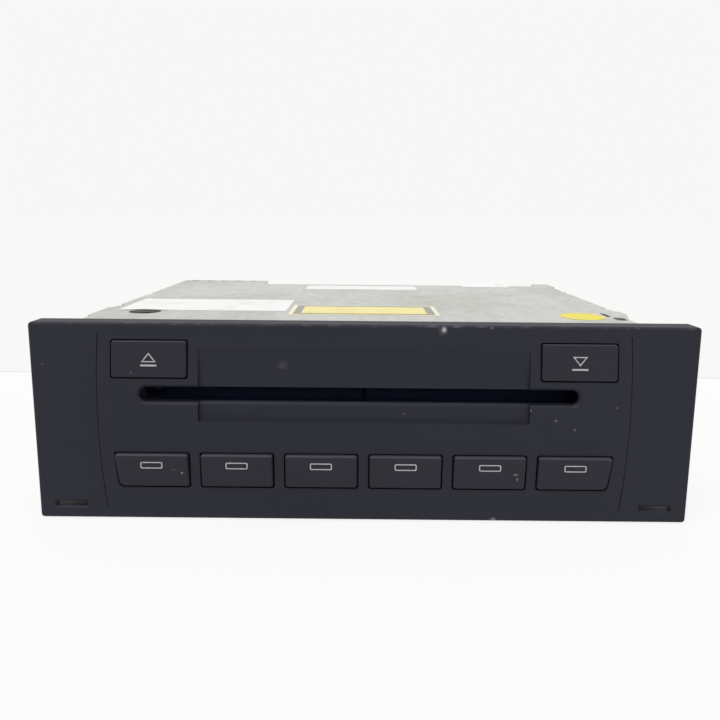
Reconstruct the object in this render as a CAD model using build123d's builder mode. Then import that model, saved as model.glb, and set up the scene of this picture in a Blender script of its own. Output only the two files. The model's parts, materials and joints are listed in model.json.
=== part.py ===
from build123d import *
from math import acos, atan2, cos, degrees, hypot, pi, radians, sin, tan
import os

# Car CD changer: a slot-loading disc unit for a dashboard opening.
# X runs across the face, Y from the face to the back, Z up. All sizes are in millimetres.
# Places are given as x, depth behind the face plane, and z above the fascia's lower edge.

# Disc and loading slot
disc_diameter = 120.0
slot_length = 126.0
slot_height = 4.4
slot_z = 36.0
slot_shift = -1.4
slot_lip = 0.7
face_clear = 0.05

# Fascia
fascia_top_width = 192.5
fascia_bottom_width = 185.4
fascia_height = 56.5
fascia_depth = 8.6
fascia_wall = 2.6
fascia_rim = 2.0
fascia_corner = 1.0
fascia_edge = 0.8
panel_rise = 0.45
panel_margin = 3.0
crease_low_x = 73.2
crease_mid_x = 75.9
crease_top_x = 76.0
crease_width = 0.3
crease_depth = 0.3
scoop_half_width = 47.4
scoop_top_z = 50.4
scoop_shoulder = 0.5
scoop_shoulder_height = 1.8
scoop_bottom_z = 28.4
scoop_depth = 1.4
key_slot_inset = 9.6
key_slot_width = 8.9
key_slot_height = 1.5
key_slot_z = 4.05
key_slot_lip = 0.4
boss_inset = 9.0
boss_radius = 2.5
boss_low_z = 13.0
boss_high_z = 48.0
boss_hole_start = 1.0

# Keys
disc_key_count = 6
disc_key_gap = 2.7
key_row_inset = 17.85
disc_key_height = 10.25
disc_key_z = 14.3
disc_key_proud = 1.2
disc_key_low_proud = 0.4
disc_key_fan = 0.0085
disc_key_edge = 0.7
disc_key_slant = 0.5
wide_key_width = 22.3
wide_key_height = 11.3
wide_key_inset = 27.6
wide_key_z = 46.2
wide_key_proud = 0.3
wide_key_edge = 0.35
key_corner = 0.8
key_outer_corner = 1.8
key_gap = 0.4
key_flange = 0.7
key_flange_thickness = 1.0
key_seat_gap = 0.1
key_travel = 0.8
key_stem_radius = 1.6

# Key board
board_front = 9.2
board_thickness = 1.6
board_inset = 4.0
board_low_z = 8.0
board_high_z = 52.0
switch_side = 6.0
switch_body = 1.6
switch_cap = 0.5
switch_cap_radius = 1.7
stem_play = 0.15
led_side = 1.6
led_height = 0.9
led_offset = 5.6

# Chassis
chassis_half_width = 89.0
chassis_height = 50.0
chassis_foot = 4.3
sheet = 1.0
chassis_front = 6.0
chassis_depth = 151.0
extension_depth = 169.2
extension_edge_x = -48.0
front_panel_depth = 14.0
disc_window_margin = 3.5
key_path_inset = 11.0
key_path_z = 9.0
key_path_depth = 36.0
ear_reach = 1.5
ear_front = 32.0
ear_back = 55.0
ear_lip = 3.0
tab_width = 7.5
tab_overlap = 4.0
tab_back = 162.0
notch_length = 5.0
notch_width = 1.2
left_notches = (61.3, 103.0, 126.0)
right_notches = (63.0, 117.0, 126.0)
vent_count = 5
vent_pitch = 7.2
vent_shift = 0.8
vent_width = 3.8
vent_length = 2.2
vent_depth = 166.0
transit_hole_inset = 14.4
transit_hole_depth = 43.5
transit_hole_radius = 5.4
ear_slot_inset = 6.7
ear_slot_middle = 44.5
ear_slot_length = 9.0
ear_slot_width = 1.6
ear_hole_inset = 4.9
ear_hole_depth = 34.4
ear_hole_radius = 1.8
ear_hole_length = 7.0
ear_corner_inset = 3.0
ear_nose = 15.0
cover_screw_depths = (80.0, 142.0)
cover_screw_z = 50.3
cover_screw_radius = 1.25
cover_screw_head = 2.4
cover_screw_head_height = 1.1
cover_tab_length = 10.0
cover_tab_height = 6.0

# Side latches
latch_hinge_depth = 66.0
latch_front = 31.5
latch_low_z = 16.5
latch_high_z = 31.5
latch_strip = 0.7
latch_gap = 0.1
latch_nose_depth = 45.0
latch_nose_length = 12.0
latch_nose_reach = 1.6
latch_leg_inset = 6.6
latch_leg_width = 3.0
rivet_spread = 4.0
latch_leg_foot_z = 3.4
latch_window_margin = 1.2
anchor_length = 12.0
rivet_radius = 1.6
rivet_height = 0.7

# Rear socket and support pin
socket_x = 35.0
socket_z = 25.5
socket_width = 34.0
socket_height = 15.0
socket_reach = 9.0
socket_wall = 1.3
socket_floor = 1.5
socket_pin_columns = 8
socket_pin_rows = 2
socket_pin_pitch_x = 3.4
socket_pin_pitch_z = 5.0
socket_pin_side = 0.9
socket_pin_length = 3.0
support_pin_radius = 3.0
support_pin_length = 11.0
support_flange_radius = 6.0
support_flange = 1.6
support_pin_x = -10.0
support_pin_z = 30.0

# Disc trays
disc_centre_depth = 88.0
tray_edge = 1.6
tray_rim = 0.4
tray_thickness = 2.4
tray_pitch = 3.0
tray_recess = 1.0
disc_play = 0.6
tray_front_arm = 8.5
tray_rear_arm = 10.5
tray_bay_radius = 40.0
lowest_tray_z = 8.0
selected_tray_z = 34.6
stored_tray_gap = 1.5
tray_lift = 5.0
fixed_tray_levels = (0, 1)
moving_tray_count = 3
post_inset = 4.6
post_radius = 1.5
post_gap = 0.1
spacer_radius = 2.6

# Tray lift
bracket_sheet = 1.2
bracket_low = 44.2
bracket_high = 47.0
bracket_gap = 1.0
bracket_inset = 1.0
bracket_arm_length = 7.5
follower_depths = (46.0, 128.0)
follower_radius = 1.0
follower_z = 45.6
cam_wall_gap = 1.4
cam_sheet = 1.2
cam_low_z = 41.8
cam_high_z = 52.8
cam_front = 31.0
cam_web = 6.0
cam_end_gap = 1.0
cam_slot_gap = 0.2
stud_depths = (62.0, 108.0)
stud_z = 47.0
stud_radius = 1.2
stud_gap = 0.2
stud_head_radius = 1.9
stud_head = 0.4
rack_strip = 1.9
rack_front = 16.3
rack_length = 15.0
rear_rack_front = 149.0
rack_back = 162.0
cross_shaft_depth = 23.3
cross_shaft_z = 45.0
cross_shaft_radius = 1.5
lift_pinion_depth = 157.5
lift_motor_radius = 6.6
lift_motor_length = 24.0
lift_motor_gap = 1.4
lift_motor_foot = 8.0
motor_bore = 3.0

# Gears
gear_module = 0.7
pressure_angle = 20.0
addendum = 0.8
dedendum = 1.15
backlash = 0.12
pinion_teeth = 14
roller_gear_teeth = 16
gear_width = 2.6

# Disc loader
roller_depth = 22.5
roller_radius = 4.0
roller_waist_radius = 3.2
roller_half_length = 62.0
roller_gap = 0.4
roller_disc_gap = 0.2
disc_thickness = 1.2
shaft_radius = 1.5
running_gap = 0.05
bush_radius = 2.6
bush_length = 3.0
loader_plate = 1.2
loader_ear_gap = 7.4
loader_shaft_end = 3.0
loader_ear_back = 27.4
loader_ear_top = 50.0
loader_left_foot = 26.0
loader_gear_gap = 2.8
idler_arm = 3.0
loading_motor_depth = 21.5
loading_motor_z = 12.2
loading_motor_radius = 5.2
loading_motor_length = 22.0
motor_shaft_radius = 1.0
motor_hole_radius = 1.5

# Playback deck
deck_tray_gap = 0.4
deck_wall_gap = 2.6
deck_pivot_depth = 138.0
deck_sheet = 1.2
deck_floor_z = 24.0
deck_skirt_z = 17.0
deck_hub_radius = 6.0
deck_hub_top = 33.0
deck_post_radius = 3.0
deck_post_shoulder = 3.0
deck_post_gap = 0.25
spindle_motor_inset = 1.4
spindle_bore_floor = 1.0
spindle_shaft_gap = 0.5
spindle_motor_top = 32.4
turntable_inset = 0.2
turntable_low_z = 33.0
turntable_hub_radius = 7.4
turntable_hub_height = 1.5
sled_near = 22.0
sled_travel = 36.0
sled_half_length = 7.8
sled_inset = 1.2
sled_low_z = 26.4
sled_high_z = 31.4
lens_radius = 2.6
lens_height = 0.9
rail_inset = 4.0
rail_wall = 1.2
screw_tail = 2.0
rail_z = 29.0
rail_radius = 1.25
rail_block = 2.4
rail_block_play = 0.6
sled_motor_radius = 3.6
sled_motor_length = 10.0
tower_half_width = 4.0
tower_half_depth = 4.0
clamp_pin_z = 38.6
clamp_pin_radius = 1.0
clamp_half_width = 4.4
clamp_sheet = 1.2
clamp_side_gap = 0.25
puck_inset = 3.0
fork_gap = 1.0
fork_web = 2.0
fork_drop = 1.8
clamp_rise = 0.6
puck_seat = 0.2
puck_cap = 0.6
puck_cap_overhang = 0.8
clamp_eye = 1.0
puck_pin_radius = 1.2
puck_clearance = 0.3

# Main board
main_board_inset = 15.4
main_board_front = 40.0
main_board_back = 138.0
main_board_top = 41.0
chip_side = 14.0
chip_height = 1.8
chip_spots = ((62.0, 16.0), (62.0, 33.0), (86.0, 24.0))
capacitor_radius = 4.0
capacitor_length = 9.0
capacitor_spots = ((106.0, 12.0), (106.0, 23.0), (118.0, 12.0), (118.0, 23.0))

# Felts and small clearances
felt_thickness = 1.3
felt_height = 1.6
felt_overlap = 0.05
slide_gap = 0.1

# Places that follow from the sizes above
cover_top_z = chassis_foot + chassis_height
face_y = (disc_key_proud - extension_depth) / 2
cover_bottom_z = cover_top_z - sheet
floor_z = chassis_foot + sheet
wall_inner_x = chassis_half_width - sheet
key_row_half = chassis_half_width - key_row_inset
disc_key_width = (2 * key_row_half - (disc_key_count - 1) * disc_key_gap) / disc_key_count
disc_key_pitch = disc_key_width + disc_key_gap
wide_key_x = chassis_half_width - wide_key_inset
key_slot_inner_x = chassis_half_width - key_slot_inset
key_path_x = chassis_half_width - key_path_inset
boss_x = chassis_half_width - boss_inset
board_half_width = chassis_half_width - board_inset
latch_leg_x = chassis_half_width - latch_leg_inset
transit_hole_x = -(chassis_half_width - transit_hole_inset)
ear_slot_x = chassis_half_width - ear_slot_inset
ear_hole_x = chassis_half_width - ear_hole_inset
main_board_x = wall_inner_x - main_board_inset
vent_middle_x = (extension_edge_x - chassis_half_width) / 2 - vent_shift
rear_inner = chassis_depth - sheet
disc_key_top = disc_key_z + disc_key_height / 2
disc_key_bottom = disc_key_z - disc_key_height / 2
wide_key_top = wide_key_z + wide_key_height / 2
wide_key_bottom = wide_key_z - wide_key_height / 2
flange_front = fascia_wall + key_seat_gap
switch_top = board_front - switch_body - switch_cap
stem_end = switch_top - key_travel - stem_play
half_disc = disc_diameter / 2
tray_half_width = half_disc + disc_play + tray_edge
tray_front = disc_centre_depth - half_disc - disc_play - tray_rim
tray_back = disc_centre_depth + half_disc + disc_play + tray_rim
tray_middle = (tray_front + tray_back) / 2
post_x = tray_half_width - post_inset
post_front = tray_front + post_inset
post_back = tray_back - post_inset
first_moving_z = selected_tray_z + tray_thickness + stored_tray_gap
cam_outer_x = wall_inner_x - cam_wall_gap
cam_inner_x = cam_outer_x - cam_sheet
cam_back = rear_inner - tray_lift - cam_end_gap
bracket_x = cam_inner_x - bracket_gap
bracket_front_arm = tray_front + bracket_inset
bracket_rear_arm = tray_back - bracket_inset - bracket_arm_length
pinion_pitch_radius = gear_module * pinion_teeth / 2
roller_gear_radius = gear_module * roller_gear_teeth / 2
front_rack_z = cross_shaft_z - pinion_pitch_radius
rear_rack_z = cam_low_z - dedendum * gear_module
lift_pinion_z = rear_rack_z - pinion_pitch_radius
loader_ear_x = tray_half_width + loader_ear_gap
loader_gear_x = loader_ear_x + loader_plate + loader_gear_gap
roller_z = slot_z - disc_thickness / 2 - roller_radius - roller_disc_gap
deck_half_width = (wall_inner_x - tray_half_width - deck_tray_gap - deck_wall_gap) / 2
deck_x = -(tray_half_width + deck_tray_gap + deck_half_width)
turntable_radius = deck_half_width - turntable_inset
spindle_motor_radius = deck_half_width - spindle_motor_inset
sled_half_width = deck_half_width - sled_inset
rail_offset = deck_half_width - rail_inset
puck_radius = deck_half_width - puck_inset
deck_reach = hypot(deck_x, deck_pivot_depth - disc_centre_depth)
spindle_depth = deck_pivot_depth - deck_reach
turntable_top = slot_z - disc_thickness / 2
sled_depth = spindle_depth + sled_near
rail_start = sled_depth - sled_half_length - rail_block_play - rail_block
rail_end = sled_depth + sled_travel + sled_half_length + rail_block_play + rail_block
puck_low = turntable_top + turntable_hub_height + puck_clearance


def at(x, depth, z):
    """A point given as x, depth behind the face plane, and z."""
    return (x, face_y + depth, z)


def facing(depth):
    """A sketch plane parallel to the face: its axes are X and Z, and it looks to the front."""
    return Plane(origin=at(0, depth, 0), x_dir=(1, 0, 0), z_dir=(0, -1, 0))


def level(z):
    """A flat sketch plane at height z: its axes are X and depth."""
    return Plane(origin=at(0, 0, z), x_dir=(1, 0, 0), z_dir=(0, 0, 1))


def across(x):
    """An upright sketch plane at x: its axes are depth and Z, and it looks to +X."""
    return Plane(origin=at(x, 0, 0), x_dir=(0, 1, 0), z_dir=(1, 0, 0))


def block(x, depth, z, mode=Mode.ADD):
    """A box between two x, two depths and two heights."""
    with Locations(at(sum(x) / 2, sum(depth) / 2, sum(z) / 2)):
        Box(abs(x[1] - x[0]), abs(depth[1] - depth[0]), abs(z[1] - z[0]), mode=mode)


def flare(shape, x, z, width, height, depth, lip):
    """Widen an opening evenly from a depth towards the face, as a sloped lip."""
    with BuildSketch(facing(depth)) as inner_edge:
        with Locations((x, z)):
            shape(width, height)
    with BuildSketch(facing(depth - lip)) as outer_edge:
        with Locations((x, z)):
            shape(width + 2 * lip, height + 2 * lip)
    loft([inner_edge.sketch, outer_edge.sketch], ruled=True, mode=Mode.SUBTRACT)


def rod_x(radius, x, depth, z, mode=Mode.ADD):
    """A round rod or hole along X, between two x."""
    with Locations(Location(at(sum(x) / 2, depth, z), (0, 90, 0))):
        Cylinder(radius, abs(x[1] - x[0]), mode=mode)


def rod_y(radius, x, depth, z, mode=Mode.ADD):
    """A round rod or hole along Y, between two depths."""
    with Locations(Location(at(x, sum(depth) / 2, z), (90, 0, 0))):
        Cylinder(radius, abs(depth[1] - depth[0]), mode=mode)


def rod_z(radius, x, depth, z, mode=Mode.ADD):
    """A round rod or hole along Z, between two heights."""
    with Locations(at(x, depth, sum(z) / 2)):
        Cylinder(radius, abs(z[1] - z[0]), mode=mode)


def flank_half_angle(radius, teeth):
    """Half the angle that an involute tooth spans at a radius, with the backlash taken off."""
    pitch_radius = gear_module * teeth / 2
    base_radius = pitch_radius * cos(radians(pressure_angle))
    roll = acos(min(1.0, base_radius / radius))
    involute = tan(radians(pressure_angle)) - radians(pressure_angle) - (tan(roll) - roll)
    return pi / (2 * teeth) - backlash / (2 * pitch_radius) + involute


def gear_outline(teeth, turn):
    """The corner points of a spur gear, turned by an angle in radians."""
    pitch_radius = gear_module * teeth / 2
    tip = pitch_radius + addendum * gear_module
    root = pitch_radius - dedendum * gear_module
    base = pitch_radius * cos(radians(pressure_angle))
    start = max(base, root)
    flank = [start + (tip - start) * step / 4 for step in range(5)]
    points = []
    for tooth in range(teeth):
        middle = turn + 2 * pi * tooth / teeth
        rising = [(root, -flank_half_angle(start, teeth))]
        rising += [(radius, -flank_half_angle(radius, teeth)) for radius in flank if radius > root]
        for radius, angle in rising + [(r, -a) for r, a in reversed(rising)]:
            points.append((radius * cos(middle + angle), radius * sin(middle + angle)))
    return points


def gear_x(teeth, x, depth, z, turn):
    """A spur gear on an axis along X, between two x."""
    with BuildSketch(Plane(origin=at(x[0], depth, z), x_dir=(0, 1, 0), z_dir=(1, 0, 0))) as teeth_face:
        with BuildLine():
            Polyline(*gear_outline(teeth, turn), close=True)
        make_face()
    extrude(teeth_face.sketch, amount=x[1] - x[0])


def rack_outline(first, last, pitch_z, side, phase):
    """The tooth line of a rack from one depth to another; side is 1 for teeth up, -1 for teeth down."""
    pitch = pi * gear_module
    slope = tan(radians(pressure_angle))
    half = pitch / 4 - backlash / 2
    tip_half = half - addendum * gear_module * slope
    root_half = half + dedendum * gear_module * slope
    tip_z = pitch_z + side * addendum * gear_module
    root_z = pitch_z - side * dedendum * gear_module
    count = int((last - first) / pitch) + 2
    points = []
    for tooth in range(-count, count + 1):
        middle = phase + tooth * pitch
        if first < middle - root_half and middle + root_half < last:
            points += [(middle - root_half, root_z), (middle - tip_half, tip_z)]
            points += [(middle + tip_half, tip_z), (middle + root_half, root_z)]
    return points


finished = []


def keep(piece, label):
    """Name a finished piece and write it to its own file."""
    piece.part.label = label
    export_step(piece.part, "parts/" + label + ".step")
    finished.append((label, piece.part))


os.makedirs("parts", exist_ok=True)


# Keys: the outline of each opening, and the cap that moves in it

def disc_key_corners(number, inset):
    """Corners of a disc key's opening, drawn in by inset.

    Every side leans in towards the middle of the row as it goes down, and the two ends slant more.
    """
    centre = (number - (disc_key_count + 1) / 2) * disc_key_pitch
    left = centre - disc_key_width / 2 + inset
    right = centre + disc_key_width / 2 - inset
    left_slant = disc_key_slant if number == 1 else 0
    right_slant = disc_key_slant if number == disc_key_count else 0
    low = disc_key_bottom + inset
    high = disc_key_top - inset
    lean = 1 - disc_key_fan
    return [
        (left * lean + left_slant, low),
        (right * lean - right_slant, low),
        (right + right_slant, high),
        (left - left_slant, high),
    ]


def wide_key_corners(side, inset):
    """Corners of the eject key's opening (side -1) or the load key's (side 1)."""
    left = side * wide_key_x - wide_key_width / 2 + inset
    right = side * wide_key_x + wide_key_width / 2 - inset
    low = wide_key_bottom + inset
    high = wide_key_top - inset
    return [(left, low), (right, low), (right, high), (left, high)]


def key_face(corners, depth, outer=0):
    """A key's outline as a sketch; outer is -1 or 1 where that lower corner is rounder."""
    with BuildSketch(facing(depth)) as outline:
        with BuildLine():
            Polyline(*corners, close=True)
        make_face()
        if outer:
            low_corner = (*corners[0 if outer < 0 else 1], 0)
            fillet(outline.vertices().sort_by_distance(low_corner)[1:], key_corner)
            fillet(outline.vertices().sort_by_distance(low_corner)[0], key_outer_corner)
        else:
            fillet(outline.vertices(), key_corner)
    return outline.sketch


def outer_side(number):
    """Which side of a disc key lies at the end of the row: -1, 1 or 0 for neither."""
    return {1: -1, disc_key_count: 1}.get(number, 0)


def key_cap(corners, flange, proud_top, proud_bottom, edge, centre, outer=0):
    """A key cap: rounded front, a flange behind the fascia and a stem to the switch."""
    with BuildPart() as cap:
        extrude(key_face(corners, -disc_key_proud - 1, outer), amount=-(disc_key_proud + 1 + flange_front))
        low_z = min(z for x, z in corners)
        high_z = max(z for x, z in corners)
        slope = Plane(
            origin=at(0, -proud_top, high_z),
            x_dir=(1, 0, 0),
            z_dir=(0, -(high_z - low_z), proud_bottom - proud_top),
        )
        split(bisect_by=slope, keep=Keep.BOTTOM)
        fillet(cap.faces().sort_by(Axis.Y)[0].edges(), edge)
        x = [corner[0] for corner in flange]
        z = [corner[1] for corner in flange]
        rear = flange_front + key_flange_thickness
        block((min(x), max(x)), (flange_front, rear), (min(z), max(z)))
        rod_y(key_stem_radius, centre[0], (rear, stem_end), centre[1])
    return cap


# Fascia

def panel_face(grow):
    """The centre panel's outline on the face, with its bowed sides moved out by grow."""
    panel_top = fascia_height - panel_margin
    with BuildSketch(facing(-1)) as outline:
        with BuildLine():
            ThreePointArc(
                (crease_low_x + grow, panel_margin),
                (crease_mid_x + grow, fascia_height / 2),
                (crease_top_x + grow, panel_top),
            )
            Line((crease_top_x + grow, panel_top), (-crease_top_x - grow, panel_top))
            ThreePointArc(
                (-crease_top_x - grow, panel_top),
                (-crease_mid_x - grow, fascia_height / 2),
                (-crease_low_x - grow, panel_margin),
            )
            Line((-crease_low_x - grow, panel_margin), (crease_low_x + grow, panel_margin))
        make_face()
    return outline.sketch


with BuildPart() as centre_panel:
    with BuildSketch(across(-crease_top_x - 1)):
        with BuildLine():
            ThreePointArc(
                (panel_rise, panel_margin),
                (0, fascia_height / 2),
                (panel_rise, fascia_height - panel_margin),
            )
            Polyline(
                (panel_rise, fascia_height - panel_margin),
                (fascia_wall / 2, fascia_height - panel_margin),
                (fascia_wall / 2, panel_margin),
                (panel_rise, panel_margin),
            )
        make_face()
    extrude(amount=2 * crease_top_x + 2)
    extrude(panel_face(0), amount=-(fascia_wall + 1), mode=Mode.INTERSECT)


def fascia_corners(inset):
    """Corners of the fascia's outline, drawn in by inset."""
    return [
        (-fascia_bottom_width / 2 + inset, inset),
        (fascia_bottom_width / 2 - inset, inset),
        (fascia_top_width / 2 - inset, fascia_height - inset),
        (-fascia_top_width / 2 + inset, fascia_height - inset),
    ]


with BuildPart() as front_fascia:
    with BuildSketch(facing(panel_rise)) as fascia_outline:
        with BuildLine():
            Polyline(*fascia_corners(0), close=True)
        make_face()
        fillet(fascia_outline.vertices(), fascia_corner)
    extrude(amount=-(fascia_depth - panel_rise))
    fillet(front_fascia.faces().sort_by(Axis.Y)[0].edges(), fascia_edge)
    with BuildSketch(facing(fascia_wall)):
        with BuildLine():
            Polyline(*fascia_corners(fascia_rim), close=True)
        make_face()
    extrude(amount=-(fascia_depth - fascia_wall + 1), mode=Mode.SUBTRACT)
    add(centre_panel.part)
    # A fine groove runs down each bowed side of the panel
    groove = panel_face(crease_width) - panel_face(0)
    extrude(groove, amount=-(1 + panel_rise + crease_depth), mode=Mode.SUBTRACT)
    # The shallow finger scoop slopes in to the slot, and drops to a ledge below it
    with BuildSketch(across(-scoop_half_width)):
        with BuildLine():
            Polyline(
                (-1, scoop_top_z + 1),
                (0, scoop_top_z),
                (scoop_shoulder, scoop_top_z - scoop_shoulder_height),
                (scoop_depth, slot_z + slot_height / 2),
                (scoop_depth, scoop_bottom_z + scoop_depth / 3),
                (-1, scoop_bottom_z - scoop_depth / 3),
                close=True,
            )
        make_face()
    extrude(amount=2 * scoop_half_width, mode=Mode.SUBTRACT)
    # The slot flares by its lip at the face, and again at the floor of the scoop
    with BuildSketch(facing(fascia_wall + 1)):
        with Locations((slot_shift, slot_z)):
            SlotOverall(slot_length, slot_height)
    extrude(amount=fascia_wall + 2, mode=Mode.SUBTRACT)
    flare(SlotOverall, slot_shift, slot_z, slot_length, slot_height, slot_lip, slot_lip + face_clear)
    scoop_width = 2 * (scoop_half_width - slot_lip)
    flare(Rectangle, 0, slot_z, scoop_width, slot_height, scoop_depth + slot_lip, slot_lip)
    for side in (-1, 1):
        middle = side * (key_slot_inner_x + key_slot_width / 2)
        block(
            (middle - key_slot_width / 2, middle + key_slot_width / 2),
            (-1, fascia_wall + 1),
            (key_slot_z - key_slot_height / 2, key_slot_z + key_slot_height / 2),
            Mode.SUBTRACT,
        )
        lip_depth = panel_rise + key_slot_lip
        lip = key_slot_lip + face_clear
        flare(Rectangle, middle, key_slot_z, key_slot_width, key_slot_height, lip_depth, lip)
        extrude(
            key_face(wide_key_corners(side, 0), -1),
            amount=-(fascia_wall + 2),
            mode=Mode.SUBTRACT,
        )
        for z in (boss_low_z, boss_high_z):
            hole = (fascia_wall + boss_hole_start, board_front)
            rod_y(boss_radius, side * boss_x, (fascia_wall, board_front), z)
            rod_y(cover_screw_radius, side * boss_x, hole, z, Mode.SUBTRACT)
    for number in range(1, disc_key_count + 1):
        extrude(
            key_face(disc_key_corners(number, 0), -1, outer_side(number)),
            amount=-(fascia_wall + 2),
            mode=Mode.SUBTRACT,
        )
keep(front_fascia, "front_fascia")

for number in range(1, disc_key_count + 1):
    centre = ((number - (disc_key_count + 1) / 2) * disc_key_pitch, disc_key_z)
    cap = key_cap(
        disc_key_corners(number, key_gap),
        disc_key_corners(number, -key_flange),
        disc_key_proud,
        disc_key_low_proud,
        disc_key_edge,
        centre,
        outer_side(number),
    )
    keep(cap, "disc_key_" + str(number))

for side, label in ((-1, "eject_key"), (1, "load_key")):
    cap = key_cap(
        wide_key_corners(side, key_gap),
        wide_key_corners(side, -key_flange),
        wide_key_proud,
        wide_key_proud,
        wide_key_edge,
        (side * wide_key_x, wide_key_z),
    )
    keep(cap, label)

switch_spots = []
for number in range(1, disc_key_count + 1):
    switch_spots.append(((number - (disc_key_count + 1) / 2) * disc_key_pitch, disc_key_z))
switch_spots += [(-wide_key_x, wide_key_z), (wide_key_x, wide_key_z)]
window_low = slot_z - slot_height / 2 - disc_window_margin
window_high = slot_z + slot_height / 2 + disc_window_margin
window_half = slot_length / 2 + disc_window_margin
board_back = board_front + board_thickness

with BuildPart() as key_board:
    block((-board_half_width, board_half_width), (board_front, board_back), (board_low_z, board_high_z))
    cut = (board_front - 1, board_back + 1)
    block((-window_half, window_half), cut, (window_low, window_high), Mode.SUBTRACT)
    for side in (-1, 1):
        for z in (boss_low_z, boss_high_z):
            rod_y(cover_screw_radius, side * boss_x, cut, z, Mode.SUBTRACT)
keep(key_board, "key_board")

with BuildPart() as board_screws:
    for side in (-1, 1):
        for z in (boss_low_z, boss_high_z):
            rod_y(cover_screw_radius, side * boss_x, (fascia_wall + 2 * boss_hole_start, board_back), z)
            rod_y(cover_screw_head, side * boss_x, (board_back, board_back + cover_screw_head_height), z)
keep(board_screws, "board_screws")

with BuildPart() as tact_switches:
    for x, z in switch_spots:
        block(
            (x - switch_side / 2, x + switch_side / 2),
            (board_front - switch_body, board_front),
            (z - switch_side / 2, z + switch_side / 2),
        )
        rod_y(switch_cap_radius, x, (switch_top, board_front - switch_body), z)
keep(tact_switches, "tact_switches")

with BuildPart() as indicator_leds:
    for x, z in switch_spots:
        block(
            (x + led_offset - led_side / 2, x + led_offset + led_side / 2),
            (board_front - led_height, board_front),
            (z - led_side / 2, z + led_side / 2),
        )
keep(indicator_leds, "indicator_leds")

with BuildPart() as slot_felts:
    for side in (-1, 1):
        edge = slot_z + side * (slot_height / 2 + felt_overlap)
        block(
            (slot_shift - slot_length / 2, slot_shift + slot_length / 2),
            (fascia_wall, fascia_wall + felt_thickness),
            sorted((edge, edge + side * felt_height)),
        )
keep(slot_felts, "slot_felts")

# Chassis panels

latch_window_low = latch_low_z - latch_window_margin
latch_window_high = latch_high_z + latch_window_margin
latch_window_front = latch_front - latch_window_margin


def side_panel(side, back, notches):
    """A chassis side: sheet metal with a latch window, top notches and screw holes."""
    with BuildPart() as panel:
        inner = side * wall_inner_x
        outer = side * chassis_half_width
        wall = sorted((inner, outer))
        cut = sorted((inner - side, outer + side))
        block(wall, (chassis_front, back), (floor_z, cover_bottom_z))
        latch_window = (latch_window_low, latch_window_high)
        block(cut, (latch_window_front, latch_hinge_depth), latch_window, Mode.SUBTRACT)
        block(cut, (chassis_front - 1, key_path_depth), (floor_z - 1, key_path_z), Mode.SUBTRACT)
        for depth in notches:
            block(
                cut,
                (depth - notch_length / 2, depth + notch_length / 2),
                (cover_bottom_z - notch_width, cover_bottom_z + 1),
                Mode.SUBTRACT,
            )
        for depth in cover_screw_depths:
            rod_x(cover_screw_radius, cut, depth, cover_screw_z, Mode.SUBTRACT)
        for depth in stud_depths:
            rod_x(stud_radius, cut, depth, stud_z, Mode.SUBTRACT)
    return panel


keep(side_panel(-1, extension_depth - sheet, left_notches), "side_panel_left")
keep(side_panel(1, rear_inner, right_notches), "side_panel_right")

front_panel_back = front_panel_depth + sheet
with BuildPart() as front_panel:
    block((-wall_inner_x, wall_inner_x), (front_panel_depth, front_panel_back), (floor_z, cover_bottom_z))
    block(
        (-window_half, window_half),
        (front_panel_depth - 1, front_panel_back + 1),
        (window_low, window_high),
        Mode.SUBTRACT,
    )
    for side in (-1, 1):
        block(
            sorted((side * key_path_x, side * chassis_half_width)),
            (front_panel_depth - 1, front_panel_back + 1),
            (floor_z - 1, key_path_z),
            Mode.SUBTRACT,
        )
keep(front_panel, "front_panel")

socket_flange_back = chassis_depth + socket_floor
with BuildPart() as rear_panel:
    height = (floor_z, cover_bottom_z)
    block((extension_edge_x - sheet, chassis_half_width), (rear_inner, chassis_depth), height)
    block((extension_edge_x - sheet, extension_edge_x), (rear_inner, extension_depth), height)
    block((-chassis_half_width, extension_edge_x), (extension_depth - sheet, extension_depth), height)
    pin_hole = (rear_inner - 1, chassis_depth + 1)
    rod_y(support_pin_radius, support_pin_x, pin_hole, support_pin_z, Mode.SUBTRACT)
keep(rear_panel, "rear_panel")


def cover_outline(edge):
    """The covers' plan: the main body, the longer left rear and nothing behind the right."""
    return [
        (-chassis_half_width, edge),
        (chassis_half_width, edge),
        (chassis_half_width, chassis_depth),
        (extension_edge_x, chassis_depth),
        (extension_edge_x, extension_depth),
        (-chassis_half_width, extension_depth),
    ]


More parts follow.
